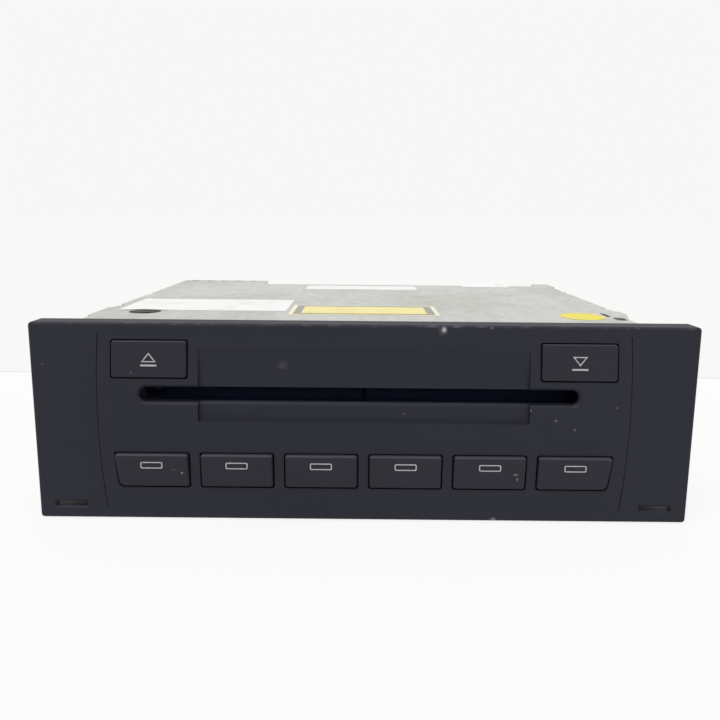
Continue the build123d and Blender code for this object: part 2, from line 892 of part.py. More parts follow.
with BuildPart() as top_cover:
    with BuildSketch(level(cover_bottom_z)):
        with BuildLine():
            Polyline(*cover_outline(chassis_front), close=True)
        make_face()
        for side in (-1, 1):
            with Locations((side * (chassis_half_width - ear_reach / 2), (ear_front + ear_back) / 2)):
                RectangleRounded(3 * ear_reach, ear_back - ear_front, ear_reach * 0.9)
        tab_x = chassis_half_width + ear_reach - tab_width / 2
        with Locations((tab_x, (chassis_depth - tab_overlap + tab_back) / 2)):
            Rectangle(tab_width, tab_back - chassis_depth + tab_overlap)
        for side, notches in ((-1, left_notches), (1, right_notches)):
            for depth in notches:
                with Locations((side * chassis_half_width, depth)):
                    Rectangle(2 * notch_width, notch_length, mode=Mode.SUBTRACT)
        for step in range(vent_count):
            x = vent_middle_x + (step - (vent_count - 1) / 2) * vent_pitch
            with Locations((x, vent_depth)):
                RectangleRounded(vent_width, vent_length, vent_length / 2.2, mode=Mode.SUBTRACT)
        with Locations((ear_slot_x, ear_slot_middle)):
            SlotOverall(ear_slot_length, ear_slot_width, rotation=90, mode=Mode.SUBTRACT)
        with Locations((ear_hole_x, ear_hole_depth)):
            SlotOverall(ear_hole_length, 2 * ear_hole_radius, rotation=90, mode=Mode.SUBTRACT)
        # The right ear narrows towards the front, and the corner ahead of it is cut away
        ear_corner_x = chassis_half_width - ear_corner_inset
        ear_outer_x = chassis_half_width + 2 * ear_reach
        with BuildLine():
            Polyline(
                (ear_outer_x, ear_front + ear_nose),
                (chassis_half_width + ear_reach, ear_front + ear_nose),
                (ear_corner_x, ear_front - 1),
                (ear_corner_x, chassis_front - 1),
                (ear_outer_x, chassis_front - 1),
                close=True,
            )
        make_face(mode=Mode.SUBTRACT)
    extrude(amount=sheet)
    span = (cover_bottom_z - 1, cover_top_z + 1)
    rod_z(transit_hole_radius, transit_hole_x, transit_hole_depth, span, Mode.SUBTRACT)
    for side in (-1, 1):
        ear_outer = side * (chassis_half_width + ear_reach)
        ear_lip_front = ear_front + (ear_nose if side > 0 else ear_reach)
        block(
            sorted((ear_outer, ear_outer - side * sheet)),
            (ear_lip_front, ear_back - ear_reach),
            (cover_bottom_z - ear_lip, cover_bottom_z),
        )
        for depth in cover_screw_depths:
            lip = sorted((side * wall_inner_x, side * (wall_inner_x - sheet)))
            block(
                lip,
                (depth - cover_tab_length / 2, depth + cover_tab_length / 2),
                (cover_bottom_z - cover_tab_height, cover_bottom_z),
            )
            rod_x(cover_screw_radius, sorted((lip[0] - 1, lip[1] + 1)), depth, cover_screw_z, Mode.SUBTRACT)
keep(top_cover, "top_cover")

with BuildPart() as bottom_cover:
    with BuildSketch(level(floor_z - sheet)):
        with BuildLine():
            Polyline(*cover_outline(chassis_front), close=True)
        make_face()
        for side in (-1, 1):
            width = chassis_half_width - key_path_x
            with Locations((side * (key_path_x + width / 2), chassis_front)):
                Rectangle(width, 2 * (key_path_depth - chassis_front), mode=Mode.SUBTRACT)
    extrude(amount=sheet)
keep(bottom_cover, "bottom_cover")

with BuildPart() as cover_screws:
    for side in (-1, 1):
        for depth in cover_screw_depths:
            shank = sorted((side * (wall_inner_x - sheet), side * chassis_half_width))
            head_top = chassis_half_width + cover_screw_head_height
            head = sorted((side * chassis_half_width, side * head_top))
            rod_x(cover_screw_radius, shank, depth, cover_screw_z)
            rod_x(cover_screw_head, head, depth, cover_screw_z)
keep(cover_screws, "cover_screws")

# Side latches: a sprung strip in each side window, and the riveted foot that it bends from

def latch(side):
    """A latch strip with an outward nose, and an inner leg for the release key."""
    inner = chassis_half_width + latch_gap
    outer = inner + latch_strip
    with BuildPart() as strip:
        with BuildSketch(level(latch_low_z)):
            with BuildLine():
                Polyline(
                    (side * inner, latch_hinge_depth - latch_gap),
                    (side * outer, latch_hinge_depth - latch_gap),
                    (side * outer, latch_nose_depth + latch_nose_length / 2),
                    (side * (outer + latch_nose_reach), latch_nose_depth),
                    (side * outer, latch_nose_depth - latch_nose_length / 2),
                    (side * outer, latch_front),
                    (side * latch_leg_x, latch_front),
                    (side * latch_leg_x, latch_front + latch_strip),
                    (side * inner, latch_front + latch_strip),
                    (side * inner, latch_nose_depth - latch_nose_length / 2),
                    (side * (inner + latch_nose_reach), latch_nose_depth),
                    (side * inner, latch_nose_depth + latch_nose_length / 2),
                    close=True,
                )
            make_face()
        extrude(amount=latch_high_z - latch_low_z)
        block(
            sorted((side * latch_leg_x, side * (latch_leg_x + latch_leg_width))),
            (latch_front, latch_front + latch_strip),
            (latch_leg_foot_z, latch_high_z),
        )
    return strip


keep(latch(-1), "latch_left")
keep(latch(1), "latch_right")

with BuildPart() as latch_feet:
    foot_front = latch_hinge_depth + latch_gap
    for side in (-1, 1):
        foot = sorted((side * chassis_half_width, side * (chassis_half_width + latch_gap + latch_strip)))
        block(foot, (foot_front, foot_front + anchor_length), (latch_low_z, latch_high_z))
        head = sorted((foot[0], foot[1], side * (chassis_half_width + latch_strip + rivet_height)))
        latch_middle = (latch_low_z + latch_high_z) / 2
        for z in (latch_middle - rivet_spread, latch_middle + rivet_spread):
            rod_x(rivet_radius, (head[0], head[-1]), foot_front + anchor_length / 2, z)
keep(latch_feet, "latch_feet")

# Rear socket, its pins and the support pin

socket_back = chassis_depth + socket_reach
with BuildPart() as harness_socket:
    x = (socket_x - socket_width / 2, socket_x + socket_width / 2)
    z = (socket_z - socket_height / 2, socket_z + socket_height / 2)
    block(x, (chassis_depth, socket_back), z)
    block(
        (x[0] + socket_wall, x[1] - socket_wall),
        (socket_flange_back, socket_back + 1),
        (z[0] + socket_wall, z[1] - socket_wall),
        Mode.SUBTRACT,
    )
keep(harness_socket, "harness_socket")

with BuildPart() as connector_pins:
    for column in range(socket_pin_columns):
        for row in range(socket_pin_rows):
            x = socket_x + (column - (socket_pin_columns - 1) / 2) * socket_pin_pitch_x
            z = socket_z + (row - (socket_pin_rows - 1) / 2) * socket_pin_pitch_z
            half = socket_pin_side / 2
            reach = (socket_flange_back, socket_flange_back + socket_pin_length)
            block((x - half, x + half), reach, (z - half, z + half))
keep(connector_pins, "connector_pins")

with BuildPart() as rear_support_pin:
    pin_start = chassis_depth + support_flange
    rod_y(support_flange_radius, support_pin_x, (chassis_depth, pin_start), support_pin_z)
    rod_y(support_pin_radius, support_pin_x, (rear_inner, pin_start + support_pin_length), support_pin_z)
    chamfer(rear_support_pin.faces().sort_by(Axis.Y)[-1].edges(), support_pin_radius / 4)
keep(rear_support_pin, "rear_support_pin")

# Disc trays, their posts and spacers

def tray(z):
    """A disc tray: a thin plate with a disc recess, and a bay open to the deck's side."""
    with Locations(at(0, tray_middle, z + tray_thickness / 2)):
        Box(2 * tray_half_width, tray_back - tray_front, tray_thickness)
    recess = (z + tray_thickness - tray_recess, z + tray_thickness + slide_gap)
    rod_z(half_disc + disc_play, 0, disc_centre_depth, recess, Mode.SUBTRACT)
    rod_z(tray_bay_radius, 0, disc_centre_depth, (z - 1, z + tray_thickness + 1), Mode.SUBTRACT)
    block(
        (-tray_half_width - 1, 0),
        (tray_front + tray_front_arm, tray_back - tray_rear_arm),
        (z - 1, z + tray_thickness + 1),
        Mode.SUBTRACT,
    )
    for side in (-1, 1):
        for depth in (post_front, post_back):
            hole = (z - 1, z + tray_thickness + 1)
            rod_z(post_radius + post_gap, side * post_x, depth, hole, Mode.SUBTRACT)


fixed_heights = [lowest_tray_z + tray_pitch * step for step in fixed_tray_levels] + [selected_tray_z]


def tray_part(z):
    """One tray as a piece of its own."""
    with BuildPart() as one:
        tray(z)
    return one.part


with BuildPart() as fixed_trays:
    for z in fixed_heights:
        add(tray_part(z))
keep(fixed_trays, "fixed_trays")

with BuildPart() as lifting_trays:
    for step in range(moving_tray_count):
        add(tray_part(first_moving_z + tray_pitch * step))
keep(lifting_trays, "lifting_trays")

with BuildPart() as tray_posts:
    for side in (-1, 1):
        for depth in (post_front, post_back):
            rod_z(post_radius, side * post_x, depth, (floor_z, cover_bottom_z))
keep(tray_posts, "tray_posts")

spacer_spans = []
below = floor_z
for z in fixed_heights:
    spacer_spans.append((below, z))
    below = z + tray_thickness
with BuildPart() as tray_spacers:
    for side in (-1, 1):
        for depth in (post_front, post_back):
            for span in spacer_spans:
                rod_z(spacer_radius, side * post_x, depth, span)
                rod_z(post_radius, side * post_x, depth, span, Mode.SUBTRACT)
keep(tray_spacers, "tray_spacers")

# Tray lift: brackets with follower pins, cam plates with sloped slots, and the shaft that ties them

with BuildPart() as lift_brackets:
    trays_low = first_moving_z
    trays_high = first_moving_z + tray_pitch * (moving_tray_count - 1) + tray_thickness
    for side in (-1, 1):
        for start in (bracket_front_arm, bracket_rear_arm):
            span = (start, start + bracket_arm_length)
            block(
                sorted((side * tray_half_width, side * (tray_half_width + bracket_sheet))),
                span,
                (trays_low, trays_high),
            )
            block(
                sorted((side * tray_half_width, side * bracket_x)),
                span,
                (bracket_high - bracket_sheet, bracket_high),
            )
        block(
            sorted((side * (bracket_x - bracket_sheet), side * bracket_x)),
            (bracket_front_arm, bracket_rear_arm + bracket_arm_length),
            (bracket_low, bracket_high),
        )
        for depth in follower_depths:
            rod_x(follower_radius, sorted((side * bracket_x, side * cam_outer_x)), depth, follower_z)
keep(lift_brackets, "lift_brackets")


def cam_plate(side):
    """A sliding cam plate: sloped slots for the followers, level slots for the studs, and racks."""
    with BuildPart() as plate:
        with BuildSketch(across(side * cam_inner_x)) as outline:
            with BuildLine():
                rack_end = rack_front + rack_length
                teeth = rack_outline(rack_front, rack_end, front_rack_z, 1, cross_shaft_depth)
                root = front_rack_z - dedendum * gear_module
                Polyline(
                    (rack_front, root),
                    *teeth,
                    (cam_front, root),
                    (cam_front, root - rack_strip),
                    (rack_front, root - rack_strip),
                    close=True,
                )
            make_face()
            with BuildLine():
                Polyline(
                    (cam_front, root - rack_strip),
                    (cam_front + cam_web, root - rack_strip),
                    (cam_front + cam_web, cam_high_z),
                    (cam_front, cam_high_z),
                    close=True,
                )
            make_face()
            with BuildLine():
                lower_teeth = []
                end = cam_back
                if side < 0:
                    end = rack_back
                    rear_rack = (rear_rack_front, rack_back, rear_rack_z)
                    lower_teeth = rack_outline(*rear_rack, -1, lift_pinion_depth)
                Polyline(
                    (cam_front + cam_web / 2, cam_low_z),
                    *lower_teeth,
                    (end, cam_low_z),
                    (end, cam_high_z),
                    (cam_front + cam_web / 2, cam_high_z),
                    close=True,
                )
            make_face()
            for depth in follower_depths:
                slot_run = hypot(tray_lift, tray_lift)
                with Locations((depth - tray_lift / 2, follower_z + tray_lift / 2)):
                    slot_width = 2 * (follower_radius + cam_slot_gap)
                    SlotCenterToCenter(slot_run, slot_width, rotation=135, mode=Mode.SUBTRACT)
            for depth in stud_depths:
                with Locations((depth - tray_lift / 2, stud_z)):
                    SlotCenterToCenter(tray_lift, 2 * (stud_radius + stud_gap), mode=Mode.SUBTRACT)
        extrude(amount=side * cam_sheet)
    return plate


keep(cam_plate(-1), "cam_plate_left")
keep(cam_plate(1), "cam_plate_right")

with BuildPart() as cam_studs:
    for side in (-1, 1):
        for depth in stud_depths:
            tip = side * (cam_inner_x - stud_head - slide_gap)
            rod_x(stud_radius, sorted((tip, side * chassis_half_width)), depth, stud_z)
            rod_x(stud_head_radius, sorted((tip, tip + side * stud_head)), depth, stud_z)
keep(cam_studs, "cam_studs")

with BuildPart() as cross_shaft:
    rod_x(cross_shaft_radius, (-cam_outer_x, cam_outer_x), cross_shaft_depth, cross_shaft_z)
keep(cross_shaft, "cross_shaft")

pinion_rack_turn = -pi / 2 + pi / pinion_teeth
with BuildPart() as cross_pinions:
    for side in (-1, 1):
        ends = sorted((side * cam_inner_x, side * cam_outer_x))
        gear_x(pinion_teeth, ends, cross_shaft_depth, cross_shaft_z, pinion_rack_turn)
    rod_x(cross_shaft_radius, (-cam_outer_x, cam_outer_x), cross_shaft_depth, cross_shaft_z, Mode.SUBTRACT)
keep(cross_pinions, "cross_pinions")

lift_motor_end = -(cam_inner_x - lift_motor_gap)
with BuildPart() as lift_pinion:
    ends = (-cam_outer_x, -cam_inner_x)
    gear_x(pinion_teeth, ends, lift_pinion_depth, lift_pinion_z, pi / 2 + pi / pinion_teeth)
    rod_x(motor_shaft_radius, (-cam_outer_x, lift_motor_end + motor_bore), lift_pinion_depth, lift_pinion_z)
keep(lift_pinion, "lift_pinion")

with BuildPart() as lift_motor:
    lift_motor_ends = (lift_motor_end, lift_motor_end + lift_motor_length)
    rod_x(lift_motor_radius, lift_motor_ends, lift_pinion_depth, lift_pinion_z)
    rod_x(
        motor_shaft_radius + running_gap,
        (lift_motor_end, lift_motor_end + motor_bore + spindle_shaft_gap),
        lift_pinion_depth,
        lift_pinion_z,
        Mode.SUBTRACT,
    )
    block(
        lift_motor_ends,
        (lift_pinion_depth - lift_motor_foot / 2, lift_pinion_depth + lift_motor_foot / 2),
        (floor_z, lift_pinion_z - lift_motor_radius + 1),
    )
keep(lift_motor, "lift_motor")

# Disc loader: bracket, roller, gear train and motor

centre_gap = hypot(roller_depth - loading_motor_depth, roller_z - loading_motor_z)
idler_to_roller = roller_gear_radius + pinion_pitch_radius
idler_to_motor = 2 * pinion_pitch_radius
along = (centre_gap**2 + idler_to_motor**2 - idler_to_roller**2) / (2 * centre_gap)
aside = (idler_to_motor**2 - along**2) ** 0.5
toward = ((roller_depth - loading_motor_depth) / centre_gap, (roller_z - loading_motor_z) / centre_gap)
idler_depth = loading_motor_depth + along * toward[0] + aside * toward[1]
idler_z = loading_motor_z + along * toward[1] - aside * toward[0]
gear_ends = (loader_gear_x, loader_gear_x + gear_width)

loader_front = front_panel_back
with BuildPart() as loader_bracket:
    half = loader_ear_x + loader_plate
    block((-half, half), (loader_front, loader_front + loader_plate), (loader_left_foot, loader_ear_top))
    block(
        (-window_half, window_half),
        (loader_front - 1, loader_front + loader_plate + 1),
        (window_low, window_high),
        Mode.SUBTRACT,
    )
    block((loader_ear_x, half), (loader_front, loader_ear_back), (floor_z, loader_ear_top))
    block((-half, -loader_ear_x), (loader_front, loader_ear_back), (loader_left_foot, loader_ear_top))
    for x in ((loader_ear_x - 1, half + 1), (-half - 1, -loader_ear_x + 1)):
        rod_x(bush_radius, x, roller_depth, roller_z, Mode.SUBTRACT)
        rod_x(bush_radius, x, cross_shaft_depth, cross_shaft_z, Mode.SUBTRACT)
    hole = (loader_ear_x - 1, half + 1)
    rod_x(motor_hole_radius, hole, loading_motor_depth, loading_motor_z, Mode.SUBTRACT)
    block(
        (loader_ear_x, half),
        (loader_front, idler_depth + idler_arm),
        (idler_z - idler_arm, idler_z + idler_arm),
    )
    rod_x(motor_shaft_radius, (half - loader_plate / 2, gear_ends[1]), idler_depth, idler_z)
keep(loader_bracket, "loader_bracket")

with BuildPart() as shaft_bushes:
    for side in (-1, 1):
        span = sorted((side * (loader_ear_x - 1), side * (loader_ear_x - 1 + bush_length)))
        for depth, z in ((roller_depth, roller_z), (cross_shaft_depth, cross_shaft_z)):
            rod_x(bush_radius, span, depth, z)
            rod_x(shaft_radius + running_gap, span, depth, z, Mode.SUBTRACT)
keep(shaft_bushes, "shaft_bushes")

with BuildPart() as roller_shaft:
    rod_x(shaft_radius, (-loader_ear_x - loader_shaft_end, gear_ends[1]), roller_depth, roller_z)
keep(roller_shaft, "roller_shaft")

with BuildPart() as roller_rubbers:
    for side in (-1, 1):
        with BuildSketch(Plane(origin=at(0, roller_depth, roller_z), x_dir=(1, 0, 0), z_dir=(0, -1, 0))):
            with BuildLine():
                Polyline(
                    (side * roller_gap, shaft_radius),
                    (side * roller_gap, roller_waist_radius),
                    (side * roller_half_length, roller_radius),
                    (side * roller_half_length, shaft_radius),
                    close=True,
                )
            make_face()
        revolve(axis=Axis(at(0, roller_depth, roller_z), (1, 0, 0)))
keep(roller_rubbers, "roller_rubbers")

idler_angle = atan2(idler_z - roller_z, idler_depth - roller_depth)
motor_angle = atan2(idler_z - loading_motor_z, idler_depth - loading_motor_depth)
idler_turn = idler_angle + pi
with BuildPart() as roller_gear:
    gear_x(roller_gear_teeth, gear_ends, roller_depth, roller_z, idler_angle + pi / roller_gear_teeth)
    rod_x(shaft_radius, gear_ends, roller_depth, roller_z, Mode.SUBTRACT)
keep(roller_gear, "roller_gear")

with BuildPart() as idler_gear:
    gear_x(pinion_teeth, gear_ends, idler_depth, idler_z, idler_turn)
    bore = (gear_ends[0] - 1, gear_ends[1] + 1)
    rod_x(motor_shaft_radius + running_gap, bore, idler_depth, idler_z, Mode.SUBTRACT)
keep(idler_gear, "idler_gear")

tooth_step = 2 * pi / pinion_teeth
toward_motor = motor_angle + pi
idler_lead = (toward_motor - idler_turn) % tooth_step
motor_turn = motor_angle + tooth_step / 2 + idler_lead
with BuildPart() as motor_pinion:
    gear_x(pinion_teeth, gear_ends, loading_motor_depth, loading_motor_z, motor_turn)
    shaft = (loader_ear_x - motor_bore, gear_ends[1])
    rod_x(motor_shaft_radius, shaft, loading_motor_depth, loading_motor_z)
keep(motor_pinion, "motor_pinion")

with BuildPart() as loading_motor:
    rod_x(
        loading_motor_radius,
        (loader_ear_x - loading_motor_length, loader_ear_x),
        loading_motor_depth,
        loading_motor_z,
    )
    rod_x(
        motor_shaft_radius + running_gap,
        (loader_ear_x - motor_bore - spindle_shaft_gap, loader_ear_x + 1),
        loading_motor_depth,
        loading_motor_z,
        Mode.SUBTRACT,
    )
keep(loading_motor, "loading_motor")

# Playback deck: an arm on an upright post, parked beside the trays

deck_floor_top = deck_floor_z + deck_sheet
with BuildPart() as deck_arm:
    with BuildSketch(level(deck_skirt_z)) as plan:
        with Locations((deck_x, (spindle_depth + deck_pivot_depth) / 2)):
            SlotCenterToCenter(deck_pivot_depth - spindle_depth, 2 * deck_half_width, rotation=90)
    extrude(amount=deck_floor_top - deck_skirt_z)
    with BuildSketch(level(deck_skirt_z)) as hollow:
        with Locations((deck_x, (spindle_depth + deck_pivot_depth) / 2)):
            inside = 2 * (deck_half_width - deck_sheet)
            SlotCenterToCenter(deck_pivot_depth - spindle_depth, inside, rotation=90)
    extrude(amount=deck_floor_z - deck_skirt_z, mode=Mode.SUBTRACT)
    rod_z(deck_hub_radius, deck_x, deck_pivot_depth, (deck_skirt_z, deck_hub_top))
    hub_bore = (deck_skirt_z - 1, deck_hub_top)
    rod_z(deck_post_radius + running_gap, deck_x, deck_pivot_depth, hub_bore, Mode.SUBTRACT)
    block(
        (deck_x - tower_half_width, deck_x + tower_half_width),
        (deck_pivot_depth - tower_half_depth, deck_pivot_depth + tower_half_depth),
        (deck_hub_top, clamp_pin_z + fork_drop),
    )
    rod_x(
        clamp_pin_radius + running_gap,
        (deck_x - tower_half_width - 1, deck_x + tower_half_width + 1),
        deck_pivot_depth,
        clamp_pin_z,
        Mode.SUBTRACT,
    )
    for side in (-1, 1):
        x = deck_x + side * rail_offset
        for start in (rail_start, rail_end - rail_block):
            block(
                (x - rail_radius - rail_wall, x + rail_radius + rail_wall),
                (start, start + rail_block),
                (deck_floor_top, rail_z + rail_radius + rail_wall),
            )
        hole = rail_radius if side < 0 else rail_radius + running_gap
        rod_y(hole, x, (rail_start - 1, rail_end + 1), rail_z, Mode.SUBTRACT)
keep(deck_arm, "deck_arm")

with BuildPart() as deck_post:
    rod_z(deck_post_radius, deck_x, deck_pivot_depth, (floor_z, deck_hub_top - deck_post_gap))
    shoulder = deck_post_radius + deck_post_shoulder
    rod_z(shoulder, deck_x, deck_pivot_depth, (floor_z, deck_skirt_z - deck_post_gap))
keep(deck_post, "deck_post")

with BuildPart() as spindle_motor:
    rod_z(spindle_motor_radius, deck_x, spindle_depth, (deck_floor_top, spindle_motor_top))
    rod_z(
        motor_shaft_radius + running_gap,
        deck_x,
        spindle_depth,
        (deck_floor_top + spindle_bore_floor, spindle_motor_top + 1),
        Mode.SUBTRACT,
    )
keep(spindle_motor, "spindle_motor")

with BuildPart() as turntable:
    rod_z(turntable_radius, deck_x, spindle_depth, (turntable_low_z, turntable_top))
    hub = (turntable_top, turntable_top + turntable_hub_height)
    rod_z(turntable_hub_radius, deck_x, spindle_depth, hub)
    chamfer(turntable.faces().sort_by(Axis.Z)[-1].edges(), turntable_hub_height * 0.6)
    shaft_foot = deck_floor_top + spindle_bore_floor + spindle_shaft_gap
    rod_z(motor_shaft_radius, deck_x, spindle_depth, (shaft_foot, turntable_low_z))
keep(turntable, "turntable")

with BuildPart() as guide_rod:
    rod_y(rail_radius, deck_x - rail_offset, (rail_start, rail_end), rail_z)
keep(guide_rod, "guide_rod")

with BuildPart() as lead_screw:
    rod_y(rail_radius, deck_x + rail_offset, (rail_start, rail_end + screw_tail), rail_z)
keep(lead_screw, "lead_screw")

with BuildPart() as sled_motor:
    rod_y(sled_motor_radius, deck_x + rail_offset, (rail_end, rail_end + sled_motor_length), rail_z)
    rod_y(
        rail_radius + running_gap,
        deck_x + rail_offset,
        (rail_end - 1, rail_end + screw_tail + spindle_shaft_gap),
        rail_z,
        Mode.SUBTRACT,
    )
keep(sled_motor, "sled_motor")

with BuildPart() as pickup_sled:
    block(
        (deck_x - sled_half_width, deck_x + sled_half_width),
        (sled_depth - sled_half_length, sled_depth + sled_half_length),
        (sled_low_z, sled_high_z),
    )
    rod_z(lens_radius, deck_x, sled_depth, (sled_high_z, sled_high_z + lens_height))
    for side in (-1, 1):
        rod_y(
            rail_radius + running_gap,
            deck_x + side * rail_offset,
            (sled_depth - sled_half_length - 1, sled_depth + sled_half_length + 1),
            rail_z,
            Mode.SUBTRACT,
        )
keep(pickup_sled, "pickup_sled")

fork_inner = tower_half_width + clamp_side_gap
fork_outer = fork_inner + clamp_sheet * 0.8
fork_front = deck_pivot_depth - tower_half_depth - fork_gap
clamp_low = clamp_pin_z + clamp_rise
with BuildPart() as clamp_arm:
    block(
        (deck_x - clamp_half_width, deck_x + clamp_half_width),
        (spindle_depth, fork_front),
        (clamp_low, clamp_low + clamp_sheet),
    )
    block(
        (deck_x - fork_outer, deck_x + fork_outer),
        (fork_front - fork_web, fork_front),
        (clamp_low, clamp_low + clamp_sheet),
    )
    for side in (-1, 1):
        block(
            sorted((deck_x + side * fork_inner, deck_x + side * fork_outer)),
            (fork_front - fork_web, deck_pivot_depth + fork_web),
            (clamp_pin_z - fork_drop, clamp_low + clamp_sheet),
        )
    rod_x(clamp_pin_radius, (deck_x - fork_outer, deck_x + fork_outer), deck_pivot_depth, clamp_pin_z)
    rod_z(clamp_half_width + clamp_eye, deck_x, spindle_depth, (clamp_low, clamp_low + clamp_sheet))
    rod_z(
        puck_pin_radius + running_gap,
        deck_x,
        spindle_depth,
        (clamp_low - 1, clamp_low + clamp_sheet + 1),
        Mode.SUBTRACT,
    )
keep(clamp_arm, "clamp_arm")

puck_top = clamp_low - puck_seat
cap_low = clamp_low + clamp_sheet + slide_gap
with BuildPart() as clamp_puck:
    rod_z(puck_radius, deck_x, spindle_depth, (puck_low, puck_top))
    rod_z(puck_pin_radius, deck_x, spindle_depth, (puck_top, cap_low + slide_gap))
    rod_z(puck_pin_radius + puck_cap_overhang, deck_x, spindle_depth, (cap_low, cap_low + puck_cap))
keep(clamp_puck, "clamp_puck")

# Main board beside the trays

with BuildPart() as main_board:
    block(
        (main_board_x, main_board_x + board_thickness),
        (main_board_front, main_board_back),
        (floor_z, main_board_top),
    )
keep(main_board, "main_board")

with BuildPart() as board_chips:
    for depth, z in chip_spots:
        block(
            (main_board_x + board_thickness, main_board_x + board_thickness + chip_height),
            (depth - chip_side / 2, depth + chip_side / 2),
            (z - chip_side / 2, z + chip_side / 2),
        )
keep(board_chips, "board_chips")

with BuildPart() as board_capacitors:
    for depth, z in capacitor_spots:
        start = main_board_x + board_thickness
        rod_x(capacitor_radius, (start, start + capacitor_length), depth, z)
keep(board_capacitors, "board_capacitors")

print("pieces", len(finished))
print("face_y", round(face_y, 4))
print("deck swing", round(90 - degrees(atan2(deck_pivot_depth - disc_centre_depth, -deck_x)), 3))
print("roller", roller_depth, round(roller_z, 3), "idler", round(idler_depth, 3), round(idler_z, 3))
print("spindle depth", round(spindle_depth, 3), "sled depth", round(sled_depth, 3))
print("lift pinion z", round(lift_pinion_z, 3), "pinion radius", pinion_pitch_radius)
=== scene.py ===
# %% [markdown]
# # A car CD changer, dressed for the camera
#
# The solid parts come from a CAD model: a plastic fascia with eight keys on a steel box.
# This lesson gives them their finishes, prints the key symbols, sticks the labels on the cover and
# sets up the light and the camera.
#
# Blender works in metres. The unit is small, so the sizes below are written in millimetres and
# turned into metres by one helper.

# %% Load the solid parts
import json
from math import cos, pi, radians, sin

import bpy
from mathutils import Matrix, Vector
from mathutils.bvhtree import BVHTree


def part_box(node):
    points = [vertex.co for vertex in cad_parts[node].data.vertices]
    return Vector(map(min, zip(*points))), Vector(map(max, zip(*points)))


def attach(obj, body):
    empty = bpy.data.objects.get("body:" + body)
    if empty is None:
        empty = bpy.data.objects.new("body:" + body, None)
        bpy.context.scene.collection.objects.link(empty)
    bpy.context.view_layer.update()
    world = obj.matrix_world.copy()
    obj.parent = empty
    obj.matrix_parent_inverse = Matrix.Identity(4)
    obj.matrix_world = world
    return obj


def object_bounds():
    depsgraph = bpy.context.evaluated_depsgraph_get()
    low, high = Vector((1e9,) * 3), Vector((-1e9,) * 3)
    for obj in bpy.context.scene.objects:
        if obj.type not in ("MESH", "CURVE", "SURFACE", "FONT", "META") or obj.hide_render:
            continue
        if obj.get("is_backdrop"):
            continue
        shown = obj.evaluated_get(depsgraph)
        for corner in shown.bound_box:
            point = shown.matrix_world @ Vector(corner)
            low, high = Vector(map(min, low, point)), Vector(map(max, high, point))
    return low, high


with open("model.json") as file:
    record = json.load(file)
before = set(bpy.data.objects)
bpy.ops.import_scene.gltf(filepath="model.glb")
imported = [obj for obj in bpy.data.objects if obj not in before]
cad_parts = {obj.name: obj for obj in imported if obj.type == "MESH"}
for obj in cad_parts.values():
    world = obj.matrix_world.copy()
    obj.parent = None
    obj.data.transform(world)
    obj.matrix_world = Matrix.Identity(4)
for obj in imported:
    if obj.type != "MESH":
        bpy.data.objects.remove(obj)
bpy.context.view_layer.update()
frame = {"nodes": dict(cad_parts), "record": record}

# %% [markdown]
# ## A place on the unit
#
# Places are easiest to say as the maker would: so far across, so deep behind the face, so high
# above the fascia's lower edge. The face of the fascia is the front of its box, so the helper
# measures from there, and a change in the CAD carries every print and label with it.

# %% Places in millimetres
MM = 0.001
face_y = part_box("front_fascia")[0].y
cover_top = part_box("top_cover")[1].z


def place(across, depth, height):
    """A point in metres from millimetres across, behind the face and above the lower edge."""
    return Vector((across * MM, face_y + depth * MM, height * MM))


print("the face lies at y =", round(face_y / MM, 2), "mm")
print("the cover's top is", round(cover_top / MM, 2), "mm up")

# %% [markdown]
# ## Writing a finish as a sum
#
# A finish is a small calculation: a base colour, a bit darker where dust sits, a bit rougher where
# hands rub. Blender draws this as a web of nodes. To keep it readable, one small class lets an
# output take part in ordinary Python sums, and each sum adds the Math node that does it.

# %% An output that can be used in sums
class Reading:
    """A number that changes over a surface."""

    def __init__(self, finish, socket):
        self.finish = finish
        self.socket = socket

    def math(self, operation, *others):
        values = {n + 1: other for n, other in enumerate(others)}
        return self.finish.node("ShaderNodeMath", {"operation": operation}, {0: self, **values})

    def __add__(self, other):
        return self.math("ADD", other)

    def __sub__(self, other):
        return self.math("SUBTRACT", other)

    def __rsub__(self, other):
        return self.finish.node("ShaderNodeMath", {"operation": "SUBTRACT"}, {0: other, 1: self})

    def __mul__(self, other):
        return self.math("MULTIPLY", other)

    def __truediv__(self, other):
        return self.math("DIVIDE", other)

    def __pow__(self, other):
        return self.math("POWER", other)

    __radd__ = __add__
    __rmul__ = __mul__

    def clamp(self):
        return self.math("MINIMUM", 1.0).math("MAXIMUM", 0.0)


# %% [markdown]
# ## A finish
#
# One `Finish` holds one material. Its `node` method takes the kind of node, its settings and what
# goes into its sockets, and hands back the first output, ready for sums. `surface` closes the
# finish with the Principled shader, which covers plastic, steel, rubber and paper alike.

